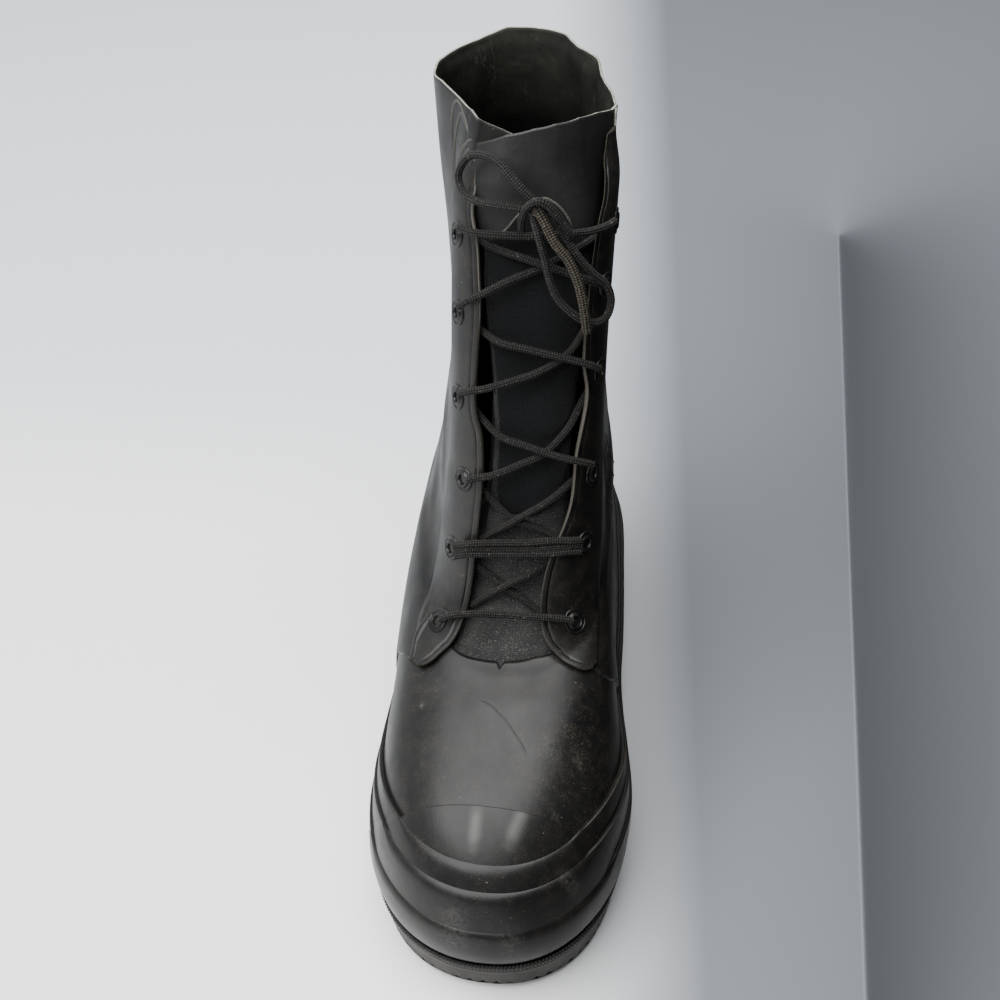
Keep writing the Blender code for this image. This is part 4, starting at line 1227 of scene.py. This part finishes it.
knit_layer("tongue_knit", KNIT_FOOT, 0.3, 110)
knit_layer("tongue_knit_upper", SECOND_FOOT, 0.9, 90)

# %% The smooth front panel and the gusset
PANEL_FOOT = 12.1
FOLD_FROM = 0.391  # the turn from which the gusset sinks in
GUSSET = (  # level, turn of its inner edge, that edge in mm off the last
    (13.4, 0.424, -12.5),
    (13.8, 0.427, -11.0),
    (14.4, 0.440, -10.0),
    (15, 0.456, -9.0),
)
# the panel's straight top edge runs up towards the inner side: turn, rise in mm
PANEL_RISE = (
    (0.394, -6.4), (0.424, -1.8), (0.445, 1.3), (0.491, 4.4), (0.524, 6.0), (0.575, 5.4),
    (0.62, 2.6), (0.66, -1.5),
)  # fmt: skip


def panel_face(level, across):
    return 0.8 + 0.4 * np.sin(level * 5 + across * 3) * (1 - ease(13.6, 14.6, level))


def panel_rise(level, turn):
    return ease(13.9, 15, level) * np.interp(turn, *zip(*PANEL_RISE))


panel = tongue_sheet("front_panel", PANEL_FOOT, 15, 90, 110, panel_face, panel_rise)
unmarked(panel)
wall(panel, 1.2, rim=1)
finished(panel, "shell_rubber", [panel_rubber, rim_edge])


def place_gusset(u, v):
    level = mix(13.2, 15, v)
    turn = mix(read(THROAT, level, 1), read(GUSSET, level, 1), u)
    bend = np.clip((turn - FOLD_FROM) / (read(GUSSET, level, 1) - FOLD_FROM), 0, 1)
    points = skin(level, turn, read(GUSSET, level, 2) * bend * (2 - bend))
    points[:, 2] += collar_wave(level, turn)
    return points, mapped(turn, level)


gusset = lofted("outer_gusset", 24, 60, place_gusset)
unmarked(gusset)
wall(gusset, 1.2, rim=1)
finished(gusset, "shell_rubber", [panel_rubber, rim_edge], "gusset_lateral")

# %% [markdown]
# ## The lace stays
#
# The stays are the two flaps that carry the eyelets. They grow out of the quarter without a
# step, lie over the tongue, and end in a cut edge two millimetres thick. A fine groove runs along
# that edge, and the outer flap has a ridge from its tip up to the first eyelet.

# %% The stays' outlines
# level, turn of the root, turn of the free edge, lift of the free edge
STAYS = {
    "lateral": (
        (6.4, 0.3675, 0.3705, 1.0),
        (6.6, 0.361, 0.383, 1.0),
        (6.85, 0.354, 0.394, 1.0),
        (7.15, 0.347, 0.404, 1.0),
        (7.6, 0.341, 0.415, 1.0),
        (8.3, 0.338, 0.435, 1.0),
        (9, 0.337, 0.450, 0.8),
        (9.7, 0.343, 0.459, 0.8),
        (10.4, 0.348, 0.463, 0.8),
        (11.1, 0.350, 0.466, 0.8),
        (11.6, 0.350, 0.462, 0.8),
        (12, 0.350, 0.449, 0.8),
        (13, 0.345, 0.450, 0.8),
        (13.5, 0.339, 0.442, 0.8),
        (13.85, 0.335, 0.4325, 0.8),
        (14.13, 0.333, 0.417, 1.0),
        (14.35, 0.331, 0.406, 1.0),
        (14.6, 0.329, 0.393, 0.6),
    ),
    "medial": (
        (6.6, 0.6345, 0.6255, 1.0),
        (6.85, 0.640, 0.611, 1.0),
        (7.4, 0.652, 0.586, 1.0),
        (8.1, 0.658, 0.554, 1.0),
        (8.6, 0.660, 0.532, 1.0),
        (9.1, 0.662, 0.522, 0.8),
        (9.7, 0.662, 0.519, 0.8),
        (10.2, 0.662, 0.526, 0.8),
        (10.8, 0.664, 0.551, 0.8),
        (11.4, 0.666, 0.558, 0.8),
        (12, 0.668, 0.573, 0.8),
        (12.5, 0.674, 0.563, 0.8),
        (13.3, 0.690, 0.570, 0.8),
        (13.9, 0.705, 0.582, 1.0),
        (14.2, 0.705, 0.596, 1.2),
        (14.5, 0.704, 0.613, 1.2),
        (14.8, 0.702, 0.634, 0.8),
    ),
}
STAY_THICK = 2.0
EDGE_GROOVE = 2.6  # from the free edge, mm
ROOT_SHARE = 0.26  # the share of its width over which a stay grows out of the shell
TOP_END = 0.87  # the share of its length where its top end starts to run out into the shell
MM_PER_TURN = 560  # about, round the foot
RIDGE = ((6.4, 0.3675), (6.76, 0.3625), (7.2, 0.366), (7.6, 0.371), (7.9, 0.378))


def stay_share(side, level, turn):
    """0 at a stay's root, 1 at its free edge."""
    root, edge = (read(STAYS[side], level, k) for k in (1, 2))
    return np.clip((turn - root) / (edge - root), 0, 1)


def stay_under(side, level, turn):
    """How far the underside of a stay stands out of the last."""
    return PLY_GAP + read(STAYS[side], level, 3) * ease(0, 1, stay_share(side, level, turn))


def grown_out(shell_face, stay_face, share, v):
    """From the shell's face at the root to the stay's, and back again at the top end."""
    out = mix(shell_face, stay_face, ease(0, ROOT_SHARE, share))
    return mix(out, shell_face, ease(TOP_END, 1, v))


def place_stay(side):
    def place(u, v):
        table = STAYS[side]
        row = through(table, v * (len(table) - 1))
        level, root, edge, lift = row.T
        share = u if side == "lateral" else 1 - u
        share = share**0.85  # columns a little closer together at the free edge
        turn = mix(root, edge, share)
        low = PLY_GAP + lift * ease(0, 1, share)
        out = grown_out(relief(level, turn) + 0.1 - STAY_THICK, low, share, v)
        points = skin(level, turn, out)
        free = skin(level, edge, low)
        away = np.linalg.norm(points - free, axis=1)
        groove = -0.35 * (1 - ease(0.3, 0.75, np.abs(away - EDGE_GROOVE)))
        ridge = 0 * level
        if side == "lateral":
            line = read(RIDGE, level, 1)
            off = np.abs(turn - line) * MM_PER_TURN
            ridge = 1.0 * np.exp(-((off / 1.3) ** 2)) * (1 - ease(7.3, 7.9, level))
        points = points + skin_normals(level, turn) * (groove + ridge)[:, None]
        points[:, 2] += collar_wave(level, turn)
        return points, mapped(turn, level)

    return place


for side in STAYS:
    stay = lofted(f"lace_stay_{side}", 64, 190, place_stay(side))
    aged(stay)
    sharpen(stay, 50)
    turns, levels = marks_of(stay)
    share = stay_share(side, levels, turns)
    if side == "lateral":
        pale = ease(12.7, 13.3, levels)
    else:
        pale = 0.35 * ease(8, 8.6, levels) * (1 - ease(12, 13, levels))
    paint(stay, "rubbed", lambda level, turn: pale)
    thinned = ease(0.7, 1, share) * ease(12.2, 13.6, levels) * (side == "medial")
    wall(stay, STAY_THICK, 1 - 0.75 * thinned, offset=1.0, rim=1)
    finished(stay, "shell_rubber", [shell_rubber, stay_edge], f"facing_{side}")

# %% [markdown]
# ## Raised lines
#
# Where sheets end under the outer skin of rubber, their outlines show through as fine raised
# lines: nested arches at the top of the outer side, and a fan on the inner ankle. Each is a
# narrow ribbon with a round back, laid along a path of places on the boot. A bump texture
# couldn't do it as well, because these lines also catch the light from the side. The same ribbon
# makes the strips' rubbed edges on the inner side, a scratch on the vamp and the knit's piping.

# %% Ribbons along a path
def outer_face(level, turn):
    """How far the boot's face stands out of the last here, on the shell or on a stay."""
    shell_face = relief(level, turn)
    face = shell_face
    for side, table in STAYS.items():
        share = stay_share(side, level, turn)
        first, last = table[0][0], table[-1][0]
        inside = (level >= first) & (level <= last) & (share < 1) & (share > 0)
        v = np.clip((level - first) / (last - first), 0, 1)
        stay_face = stay_under(side, level, turn) + STAY_THICK
        on_stay = grown_out(shell_face + 0.1, stay_face, share, v)
        face = np.where(inside, np.maximum(face, on_stay), face)
    return face


def ribbon(name, path, width, height, finish, slot="shell_rubber", over=outer_face, sink=0.12):
    """A round-backed line, width x height mm, along places (level, turn)."""
    path = np.asarray(path, float)
    steps = 16 * len(path)

    def on_boot(share):
        """Places along the path, on the boot whose collar is cut in a wave."""
        level, turn = through(path, np.clip(share, 0, 1) * (len(path) - 1)).T
        on = np.minimum(level, TOP)
        for _ in range(4):
            on = np.minimum(level - collar_wave(on, turn) / mm_per_level(on, turn), TOP)
        return on, turn

    def place(u, v):
        on, turn = on_boot(v)
        centre = skin(on, turn, over(on, turn))
        centre[:, 2] += collar_wave(on, turn)
        ahead, back = (last_points(*on_boot(v + way)) for way in (0.01, -0.01))
        normals = skin_normals(on, turn)
        side = unit(np.cross(unit(ahead - back), normals))
        taper = ease(0, 0.12, v) * ease(0, 0.12, 1 - v)
        off = (u - 0.5) * width * mix(0.35, 1, taper)
        rise = height * taper * np.cos((u - 0.5) * np.pi) - sink
        return centre + side * off[:, None] + normals * rise[:, None], mapped(turn, on)

    made = lofted(name, 6, steps, place)
    unmarked(made)
    return finished(made, slot, [finish])


# the raised lines' pale colour is partly rubbed wear and partly painted highlight where they catch the
# light
pale_line_wear_and_highlight = rubber("rubbed raised rubber", "#2e2e2c", "#403f3b", 0.4, bloom=0.2)
ARCHES = {
    "arch_line_1": [
        (13.7, 0.320), (14.2, 0.318), (14.48, 0.317), (14.73, 0.314), (14.96, 0.316),
        (15.08, 0.322), (15.13, 0.330), (15.11, 0.343), (15.03, 0.360), (14.95, 0.378),
    ],
    "arch_line_2": [
        (13.9, 0.320), (14.37, 0.321), (14.61, 0.325), (14.84, 0.331), (14.98, 0.338),
        (15.04, 0.345), (15.02, 0.356), (14.96, 0.368), (14.88, 0.380),
    ],
    "arch_line_3": [
        (13.92, 0.331), (14.11, 0.334), (14.35, 0.340), (14.56, 0.350), (14.70, 0.360),
        (14.79, 0.370), (14.86, 0.381), (14.87, 0.390),
    ],
    "arch_line_4": [
        (13.98, 0.356), (14.26, 0.357), (14.55, 0.363), (14.72, 0.375), (14.76, 0.384),
    ],
}  # fmt: skip
for name, path in ARCHES.items():
    ribbon(name, path, 1.5, 0.6, pale_line_wear_and_highlight)
for number in range(4):
    path = [(level, first + number * gap) for level, first, gap in ANKLE_FAN[:6]]
    ribbon(f"fan_line_{number + 1}", path, 1.1, 0.5, pale_line_wear_and_highlight)

# rubbed upper edges of the strips on the inner side
for name, number in (("bumper_upper", 2), ("bumper_middle", 1)):
    turns = np.linspace(0.585, 0.72, 12)
    levels = ply_level(turns, *PLY_EDGES[name]) - 0.03
    face = PLY_GAP + PLY * (3 - number)
    path = list(zip(levels, turns))
    over = lambda level, turn, face=face: face
    # the pale line along each strip's upper edge is partly rubbed wear and partly painted highlight
    ribbon(f"{name}_rubbed_edge_and_highlight", path, 0.9, 0.25, pale_line_wear_and_highlight, "ply_rubber", over)

# a dull curved scratch on the vamp, hardly raised at all
scratched = rubber("scratched dull rubber", "#0e0e0e", "#161616", 0.43, bloom=0.1)
SCRATCH = [
    (7.15, 0.476), (7.05, 0.490), (6.83, 0.501), (6.53, 0.513), (6.27, 0.523), (6.0, 0.531),
]  # fmt: skip
ribbon("vamp_scratch", SCRATCH, 1.3, 0.05, scratched, sink=0.0)


def knit_out(level, turn):
    return tongue_out(level, across_tongue(level, turn)) + 2.3


PIPING = [(13.8, 0.436), (14.04, 0.469)] + [(level, turn) for turn, level in KNIT_TOP[3:11]]
ribbon("knit_piping", PIPING, 1.3, 0.7, piping, "knit", knit_out)

# %% [markdown]
# ## The eyelets
#
# Each eyelet is a rubber ring moulded into the stay: a fine raised rim, a shallow dish, and a
# domed inner ring round a dark hole. Its section is a short list of radius and height, turned
# round an axis. `bmesh.ops.spin` could turn it on flat ground, but the stay is curved, so the
# turned grid is bent onto it: for every point the place on the skin a few millimetres aside and
# along is found first.

# %% The eyelet rings
EYELETS = {
    "lateral": (
        (8.10, 0.397), (9.96, 0.418), (11.0, 0.433),
        (11.9, 0.409), (12.93, 0.402), (13.80, 0.385),
    ),
    "medial": (
        (8.65, 0.576), (10.14, 0.578), (10.96, 0.594),
        (12.17, 0.603), (13.20, 0.607), (13.78, 0.645),
    ),
}  # fmt: skip
RING_SECTION = (  # radius, height over the stay, in mm
    (0.0, -1.2), (1.7, -1.2), (1.9, -0.6), (2.1, 0.5), (2.5, 1.1), (3.0, 1.2), (3.5, 0.85),
    (3.9, 0.4), (4.3, 0.2), (4.75, 0.25), (5.05, 0.5), (5.3, 0.6), (5.5, 0.45), (5.7, 0.1),
    (5.8, -0.3),
)  # fmt: skip


def near_on_skin(level, turn, out, aside, along):
    """Levels and turns of places a few mm aside and along the face `out` mm off the skin."""
    half_level, half_turn = 0.25, 0.02
    steps = ((0, half_turn), (0, -half_turn), (half_level, 0), (-half_level, 0))
    ends = [skin(level + up, np.array([turn + round_by]), out)[0] for up, round_by in steps]
    turn_way, level_way = ends[0] - ends[1], ends[2] - ends[3]
    across = turn_way / np.linalg.norm(turn_way)
    up_skin = level_way - level_way @ across * across
    up_skin /= np.linalg.norm(up_skin)
    level_share = along / (level_way @ up_skin)
    turn_share = (aside - level_share * (level_way @ across)) / np.linalg.norm(turn_way)
    return level + level_share * 2 * half_level, turn + turn_share * 2 * half_turn


def place_ring(side, level, turn):
    def place(u, v):
        radius, height = through(RING_SECTION, v * (len(RING_SECTION) - 1)).T
        radius = np.maximum(radius, 0.0)
        angle = -2 * np.pi * u
        aside, along = radius * np.cos(angle), radius * np.sin(angle)
        levels, turns = near_on_skin(level, turn, STAY_THICK + 1.5, aside, along)
        out = stay_under(side, levels, turns) + STAY_THICK + height
        return skin(levels, turns, out), mapped(turns, levels)

    return place


# painted shade for the eyelet holes: a near-black finish that no piece takes
eyelet_hole_painted_shade = cut_edge("dark of the eyelet hole", "#050505", "#0b0b0b", 1.0)
for side in EYELETS:
    for number, (level, turn) in enumerate(EYELETS[side], 1):
        ring = lofted(f"eyelet_ring_{side}_{number}", 40, 42, place_ring(side, level, turn), merge=True)
        unmarked(ring, dust=0.3)
        finished(ring, "eyelet_rubber", [eyelet_rubber], f"eyelet_{side}_{number}")

# %% [markdown]
# ## The laces
#
# A bootlace is a round braid: two sets of yarns wound in opposite directions, over and under each
# other. Two waves that run round the cord in opposite directions, multiplied, give just that
# pattern of lozenges, so each strand is a tube of closely spaced rings whose radius follows the
# product. The bars and crossings run through the CAD's own points, with a curve drawn through
# them. The upper of the two second bars has one strand more than in the CAD. The bow's pieces
# have routes of their own near the CAD's, which run on into the knot.

# %% Braided tubes
LACE = 3.2  # mm thick
WORN_END = 1.22  # the frayed end is thicker by this factor
SIDES = 24
RING_STEP = 0.3  # mm between a tube's rings


def route_through(points, step_mm):
    """The points with a curve through them, at even steps."""
    points = np.asarray(points, float)
    fine = through(points, np.linspace(0, len(points) - 1, 60 * len(points)))
    walked = np.concatenate([[0], np.cumsum(np.linalg.norm(np.diff(fine, axis=0), axis=1))])
    count = max(int(walked[-1] / step_mm), 8)
    at = np.linspace(0, walked[-1], count + 1)
    return np.stack([np.interp(at, walked, fine[:, k]) for k in range(3)], 1), walked[-1]


def frames_along(route):
    """At each point two directions square to the route, turned as little as possible."""
    heading = unit(np.gradient(route, axis=0))
    side = np.cross(heading[0], [0.0, 0.0, 1.0])
    if np.linalg.norm(side) < 0.1:
        side = np.cross(heading[0], [1.0, 0.0, 0.0])
    sides = [side / np.linalg.norm(side)]
    for way in heading[1:]:
        turned = sides[-1] - sides[-1] @ way * way
        sides.append(turned / np.linalg.norm(turned))
    sides = np.array(sides)
    return sides, np.cross(heading, sides)


def braid(name, strands, slot, finish, nodes, thick=LACE):
    """One piece of braided tubes, with rounded ends."""
    work = bmesh.new()
    layer = work.loops.layers.uv.new("UVMap")
    routes = []
    for strand in strands:
        route, length = route_through(strand, RING_STEP)
        routes.append((route, length))
        side, up = frames_along(route)
        rings = len(route)
        first_vert, first_face = len(work.verts), len(work.faces)
        bmesh.ops.create_grid(work, x_segments=SIDES, y_segments=rings - 1, size=0.5, calc_uvs=True)
        new = list(work.verts)[first_vert:]
        for face in list(work.faces)[first_face:]:
            for loop in face.loops:
                loop[layer].uv.y *= length / 10
        flat = np.array([vert.co[:2] for vert in new]) + 0.5
        at = np.clip(np.round(flat[:, 1] * (rings - 1)).astype(int), 0, rings - 1)
        angle = 2 * np.pi * flat[:, 0]
        walked = flat[:, 1] * length
        one = np.cos(YARNS * angle + 2 * np.pi * walked / LAY)
        other = np.cos(YARNS * angle - 2 * np.pi * walked / LAY)
        lozenge = 0.5 + 0.5 * one * other
        closing = np.sqrt(np.clip(np.minimum(walked, length - walked) / 1.2, 0.0004, 1))
        radius = (thick / 2 - 0.3 + 0.42 * lozenge) * closing
        points = route[at] + radius[:, None] * (
            side[at] * np.cos(angle)[:, None] + up[at] * np.sin(angle)[:, None]
        )
        for vert, point in zip(new, points):
            vert.co = point * MM
    bmesh.ops.remove_doubles(work, verts=work.verts, dist=1e-6)
    made = object_of(name, work)
    finished(made, slot, [finish], *nodes)
    return made, routes


print(LACE, "mm lace of", SIDES, "sides")

# %% The routes of the laces
LACE_BARS = {
    "lace_bar_1": [[
        (-32, -122.7, 110.2), (-25, -123, 114.5), (-15.5, -123, 116.5), (-2.5, -121.8, 116.3),
        (12, -122.7, 117.5), (22, -122, 117.3), (29, -120.5, 114.8),
    ]],
    "lace_cross_1_2": [
        [(-23.5, -101, 131), (-16, -107, 130.5), (-7, -111.5, 127), (2.5, -114, 121.5),
         (11.5, -116, 115.2), (15, -117, 113.3)],
        [(24, -99, 136.5), (15.5, -105.5, 134.5), (6.5, -111.5, 131), (-3.5, -114.5, 126),
         (-14.5, -115.4, 117), (-18.5, -115.4, 113.8)],
    ],
    "lace_bar_2_upper": [[
        (-26.5, -107.5, 142), (-18.5, -110, 146), (-7, -108.5, 146.5), (6, -107.5, 147),
        (17.5, -107, 149), (24.5, -106, 149), (30.3, -103, 147),
    ], [
        (-26.0, -108.3, 139.6), (-18.5, -110.2, 143.3), (-6.8, -108.9, 143.6), (6.0, -107.9, 144.1),
        (17.8, -107.5, 145.8), (24.5, -106.3, 146.1), (30.3, -103.3, 144.3),
    ]],
    "lace_bar_2_lower": [[
        (-25.5, -110, 138), (-18.5, -111.3, 141.3), (-6.5, -110.3, 141.5), (6, -109.3, 142),
        (18, -109, 143.5), (24.5, -107.7, 144), (30.3, -104.6, 142.3),
    ]],
    "lace_cross_2_3": [
        [(-18, -92.5, 166), (-11.5, -97, 163), (-1.5, -101, 155.5), (9.5, -101.5, 151),
         (19, -100, 144.5), (24.5, -97, 140)],
        [(28, -80, 167), (23.5, -89, 167.5), (15, -98.5, 164), (1.5, -103, 156),
         (-10, -103, 146.5), (-18, -102, 139.5)],
    ],
    "lace_cross_3_4": [
        [(-20.5, -100.7, 174), (-14.5, -100.5, 176), (-7.5, -99.5, 177.5), (2.5, -96, 181),
         (13, -91.5, 185), (21.5, -83, 192), (26.5, -72.5, 199.5), (29, -64.5, 201.5)],
        [(33.5, -87, 176.5), (27, -92, 182), (18.5, -93.5, 185), (6.5, -93, 188.5),
         (-6, -91, 191.5), (-15, -85, 196), (-20.5, -79, 198.5)],
    ],
    "lace_cross_4_5": [
        [(-25, -85.3, 208), (-18.5, -87.5, 212), (-12.5, -87.5, 213.5), (0.5, -84.5, 217),
         (10.5, -81.7, 220.5), (20.5, -75, 224.8), (26, -65.4, 230.2), (29, -56, 235.5)],
        [(34.5, -72.5, 216.5), (28.5, -76.7, 221.8), (17, -78.6, 225.8), (5, -79, 228.6),
         (-7, -78, 230.5), (-15, -73, 232), (-21, -67, 232.5)],
    ],
    "lace_cross_5_6": [
        [(-25.5, -73.5, 243.5), (-20, -74.7, 248.5), (-14, -74, 251.5), (-3.5, -71, 256.5),
         (7.5, -66, 259.5), (18, -59.5, 263), (26.5, -50.5, 264.5), (30, -42, 264)],
        [(34.5, -61, 250.5), (29, -65.5, 255), (21, -67, 258.5), (12, -67, 261.5),
         (1, -65.5, 264), (-10.5, -62, 265.5), (-18.5, -57.5, 266)],
    ],
    "lace_bar_6": [[
        (-26.4, -60.4, 273.6), (-19.5, -64.5, 274), (-11.5, -65.5, 274), (-4, -65.5, 274),
        (4, -65, 274), (12, -63.5, 274), (20, -61.5, 274), (27.5, -58, 273.5), (33.5, -52.5, 273),
        (37.5, -47.5, 273.5),
    ]],
}  # fmt: skip
BOW = {
    "lace_knot": [
        (1.2, -62.8, 273.5), (0.7, -65, 279.3), (2.7, -68.5, 287.3), (6.6, -71, 292.6),
        (10.5, -71.3, 293), (14.3, -70.5, 289), (18.1, -69.5, 282.7), (20.3, -69.3, 278.8),
        (21, -68, 275),
    ],
    "lace_loop_lateral": [
        (11.4, -67.2, 286.4), (7.6, -67.6, 290.2), (3.5, -67.3, 294.2), (-1, -66, 298.5),
        (-8, -61, 303.5), (-15, -56, 304), (-21, -52.5, 301.5), (-25, -51, 296.5), (-26.5, -52, 291),
        (-23.5, -57, 287.5), (-17, -62.5, 287), (-9, -66, 287.5), (-2.5, -67.3, 287.6),
        (3, -67.8, 287.3), (9.5, -67.2, 285.2),
    ],
    "lace_loop_medial": [
        (5.6, -66.5, 288), (6.6, -69.5, 283.5), (8.5, -72.3, 278.5), (10.2, -73.2, 272.5),
        (11.5, -73.5, 267.5), (13, -75, 261), (16.5, -76, 252.5), (22.5, -77, 246.5),
        (29.5, -75.5, 241.5), (35.5, -71.5, 241.5), (37.5, -68, 247.5), (35.5, -68, 255),
        (30, -70, 261.5), (24.5, -70.5, 268.5), (19, -68.8, 276.5), (14.5, -67.2, 284),
        (11.5, -66, 288),
    ],
    "lace_end": [
        (6.3, -66.8, 288.4), (8.6, -69.5, 287), (11.8, -72.3, 282.9), (15.5, -74.8, 277),
        (21, -76, 270), (25, -78, 261.5), (27.5, -80, 251.5), (29, -80, 239),
    ],
}  # fmt: skip

# %% The bars and crossings
for name, strands in LACE_BARS.items():
    braid(name + "_braid", strands, "lace", lace_yarn, [name])

# %% [markdown]
# The knot, the two loops and the loose end are free cord. Each is a braid like the bars, the
# loose end a little thicker, and the length of each is printed.

# %% The bow
for name, route in BOW.items():
    yarn = worn_yarn if name == "lace_end" else lace_yarn
    slot = "worn_lace" if name == "lace_end" else "lace"
    thick = LACE * WORN_END if name == "lace_end" else LACE
    piece, routes = braid(name + "_braid", [route], slot, yarn, [name], thick=thick)
    path, length = routes[0]
    print(name, round(length), "mm")

# %% [markdown]
# ## Floor and light
#
# The boot stands on a pale seamless floor whose colour is graded: nearly white on the left, a
# little greyer behind the boot, and mid grey on the right, which is painted shade. The light is
# soft, from one large lamp above and to the left. On the right it's much darker, as beside another
# dark thing: a dark card stands there that the camera doesn't see. A dull sheet on the floor shows
# in the rubber's shine only, so its colour is painted reflection. The world's colour changes from
# side to side and front to back: a gradient by direction, which costs nothing and reflects in the
# rubber like a room.

# %% The floor
def stage_sheet(name, size, finish, move=None, unseen=()):
    """A flat sheet of the studio. move: where its corners go; unseen: kinds of ray it lets by."""
    work = bmesh.new()
    bmesh.ops.create_grid(work, x_segments=1, y_segments=1, size=size)
    if move is not None:
        for vert in work.verts:
            vert.co = move(vert.co)
    made = object_of(name, work, smooth=False)
    made.data.materials.append(finish)
    for rays in unseen:
        setattr(made, rays, False)
    return made


def flat_finish(name, roughness, colour_of):
    """A finish without bump, whose colour is a hex code or is made of nodes by a function."""
    made, tree, shader = finish_start(name)
    if isinstance(colour_of, str):
        shader.inputs["Base Color"].default_value = linear(colour_of)
    else:
        place = map_parts(tree, "Object")
        tree.links.new(colour_of(tree, place[0], place[1]), shader.inputs["Base Color"])
    shader.inputs["Roughness"].default_value = roughness
    return made


def floor_tone_and_painted_shade(tree, x, y):
    slant = times(tree, times(tree, y, 0.085), x, "ADD")
    across = step(tree, slant, -0.03, 0.08)  # metres
    beyond = step(tree, y, 0.04, 0.2)
    pale = blend(tree, beyond, "#f9f9f9", "#dfe3e8")
    # painted shade: the floor turns mid grey towards the right
    return blend(tree, across, pale, "#6f7479")


floor = stage_sheet("floor", 4.0, flat_finish("pale paper", 0.7, floor_tone_and_painted_shade))
print("floor", floor.dimensions[:2])

# %% The dark card and the dull sheet
CARD_X, CARD_Y, CARD_LONG, CARD_TALL = 0.165, 0.06, 0.72, 0.36  # metres


def card_corner(corner):
    return CARD_X, CARD_Y + corner.x * CARD_LONG, 0.002 + (corner.y + 0.5) * CARD_TALL


def painted_reflection_colour(tree, x, y):
    across = step(tree, x, -0.05, 0.1)
    front = blend(tree, across, "#f2f2f2", "#6a6a6a")
    behind = blend(tree, across, "#acaeb0", "#1c1c1c")
    return blend(tree, step(tree, y, -0.2, 0.02), front, behind)


# the card shades the floor and the boot's inner side
black = flat_finish("black card", 0.9, "#141414")
stage_sheet("dark_card", 0.5, black, card_corner, ["visible_camera"])
# the sheet is seen only in the rubber's shine: its colour is painted reflection, darker to the
# right and behind, which keeps the boot's sides from shining as pale as the floor
dull = flat_finish("dull felt", 0.9, painted_reflection_colour)
unseen = ["visible_camera", "visible_diffuse", "visible_shadow"]
stage_sheet("dull_flag", 1.0, dull, lambda corner: (corner.x, corner.y, 0.0006), unseen)
print("dark card", CARD_LONG, "x", CARD_TALL, "m, and a dull sheet on the floor")

# %% The lamp and the world
def lamp(name, place, aim, size, power):
    light = bpy.data.lights.new(name, "AREA")
    light.shape = "RECTANGLE"
    light.size, light.size_y = size
    light.energy = power
    made = bpy.data.objects.new(name, light)
    made.location = place
    way = Vector(aim) - Vector(place)
    made.rotation_mode = "QUATERNION"
    made.rotation_quaternion = way.to_track_quat("-Z", "Y")
    bpy.context.scene.collection.objects.link(made)


lamp("over", (-0.3, -0.5, 1.75), (-0.02, -0.1, 0.08), (1.6, 2.7), 108)


def build_world():
    world = bpy.data.worlds.new("room")
    bpy.context.scene.world = world
    world.use_nodes = True
    tree = world.node_tree
    tree.nodes.clear()
    out = node(tree, "OutputWorld")
    way = map_parts(tree, "Generated")
    side = step(tree, way[0], -0.8, 0.6, 1.0, 0.06)
    depth = step(tree, way[1], -0.9, 0.8, 0.38, 1.0)
    colour = blend(tree, times(tree, side, depth), "#1a1b1e", "#eaeef2")
    sky = node(tree, "Background", {"Color": colour, "Strength": 1.8})
    tree.links.new(sky.outputs[0], out.inputs["Surface"])


build_world()
print("lamps", len(bpy.data.lights))
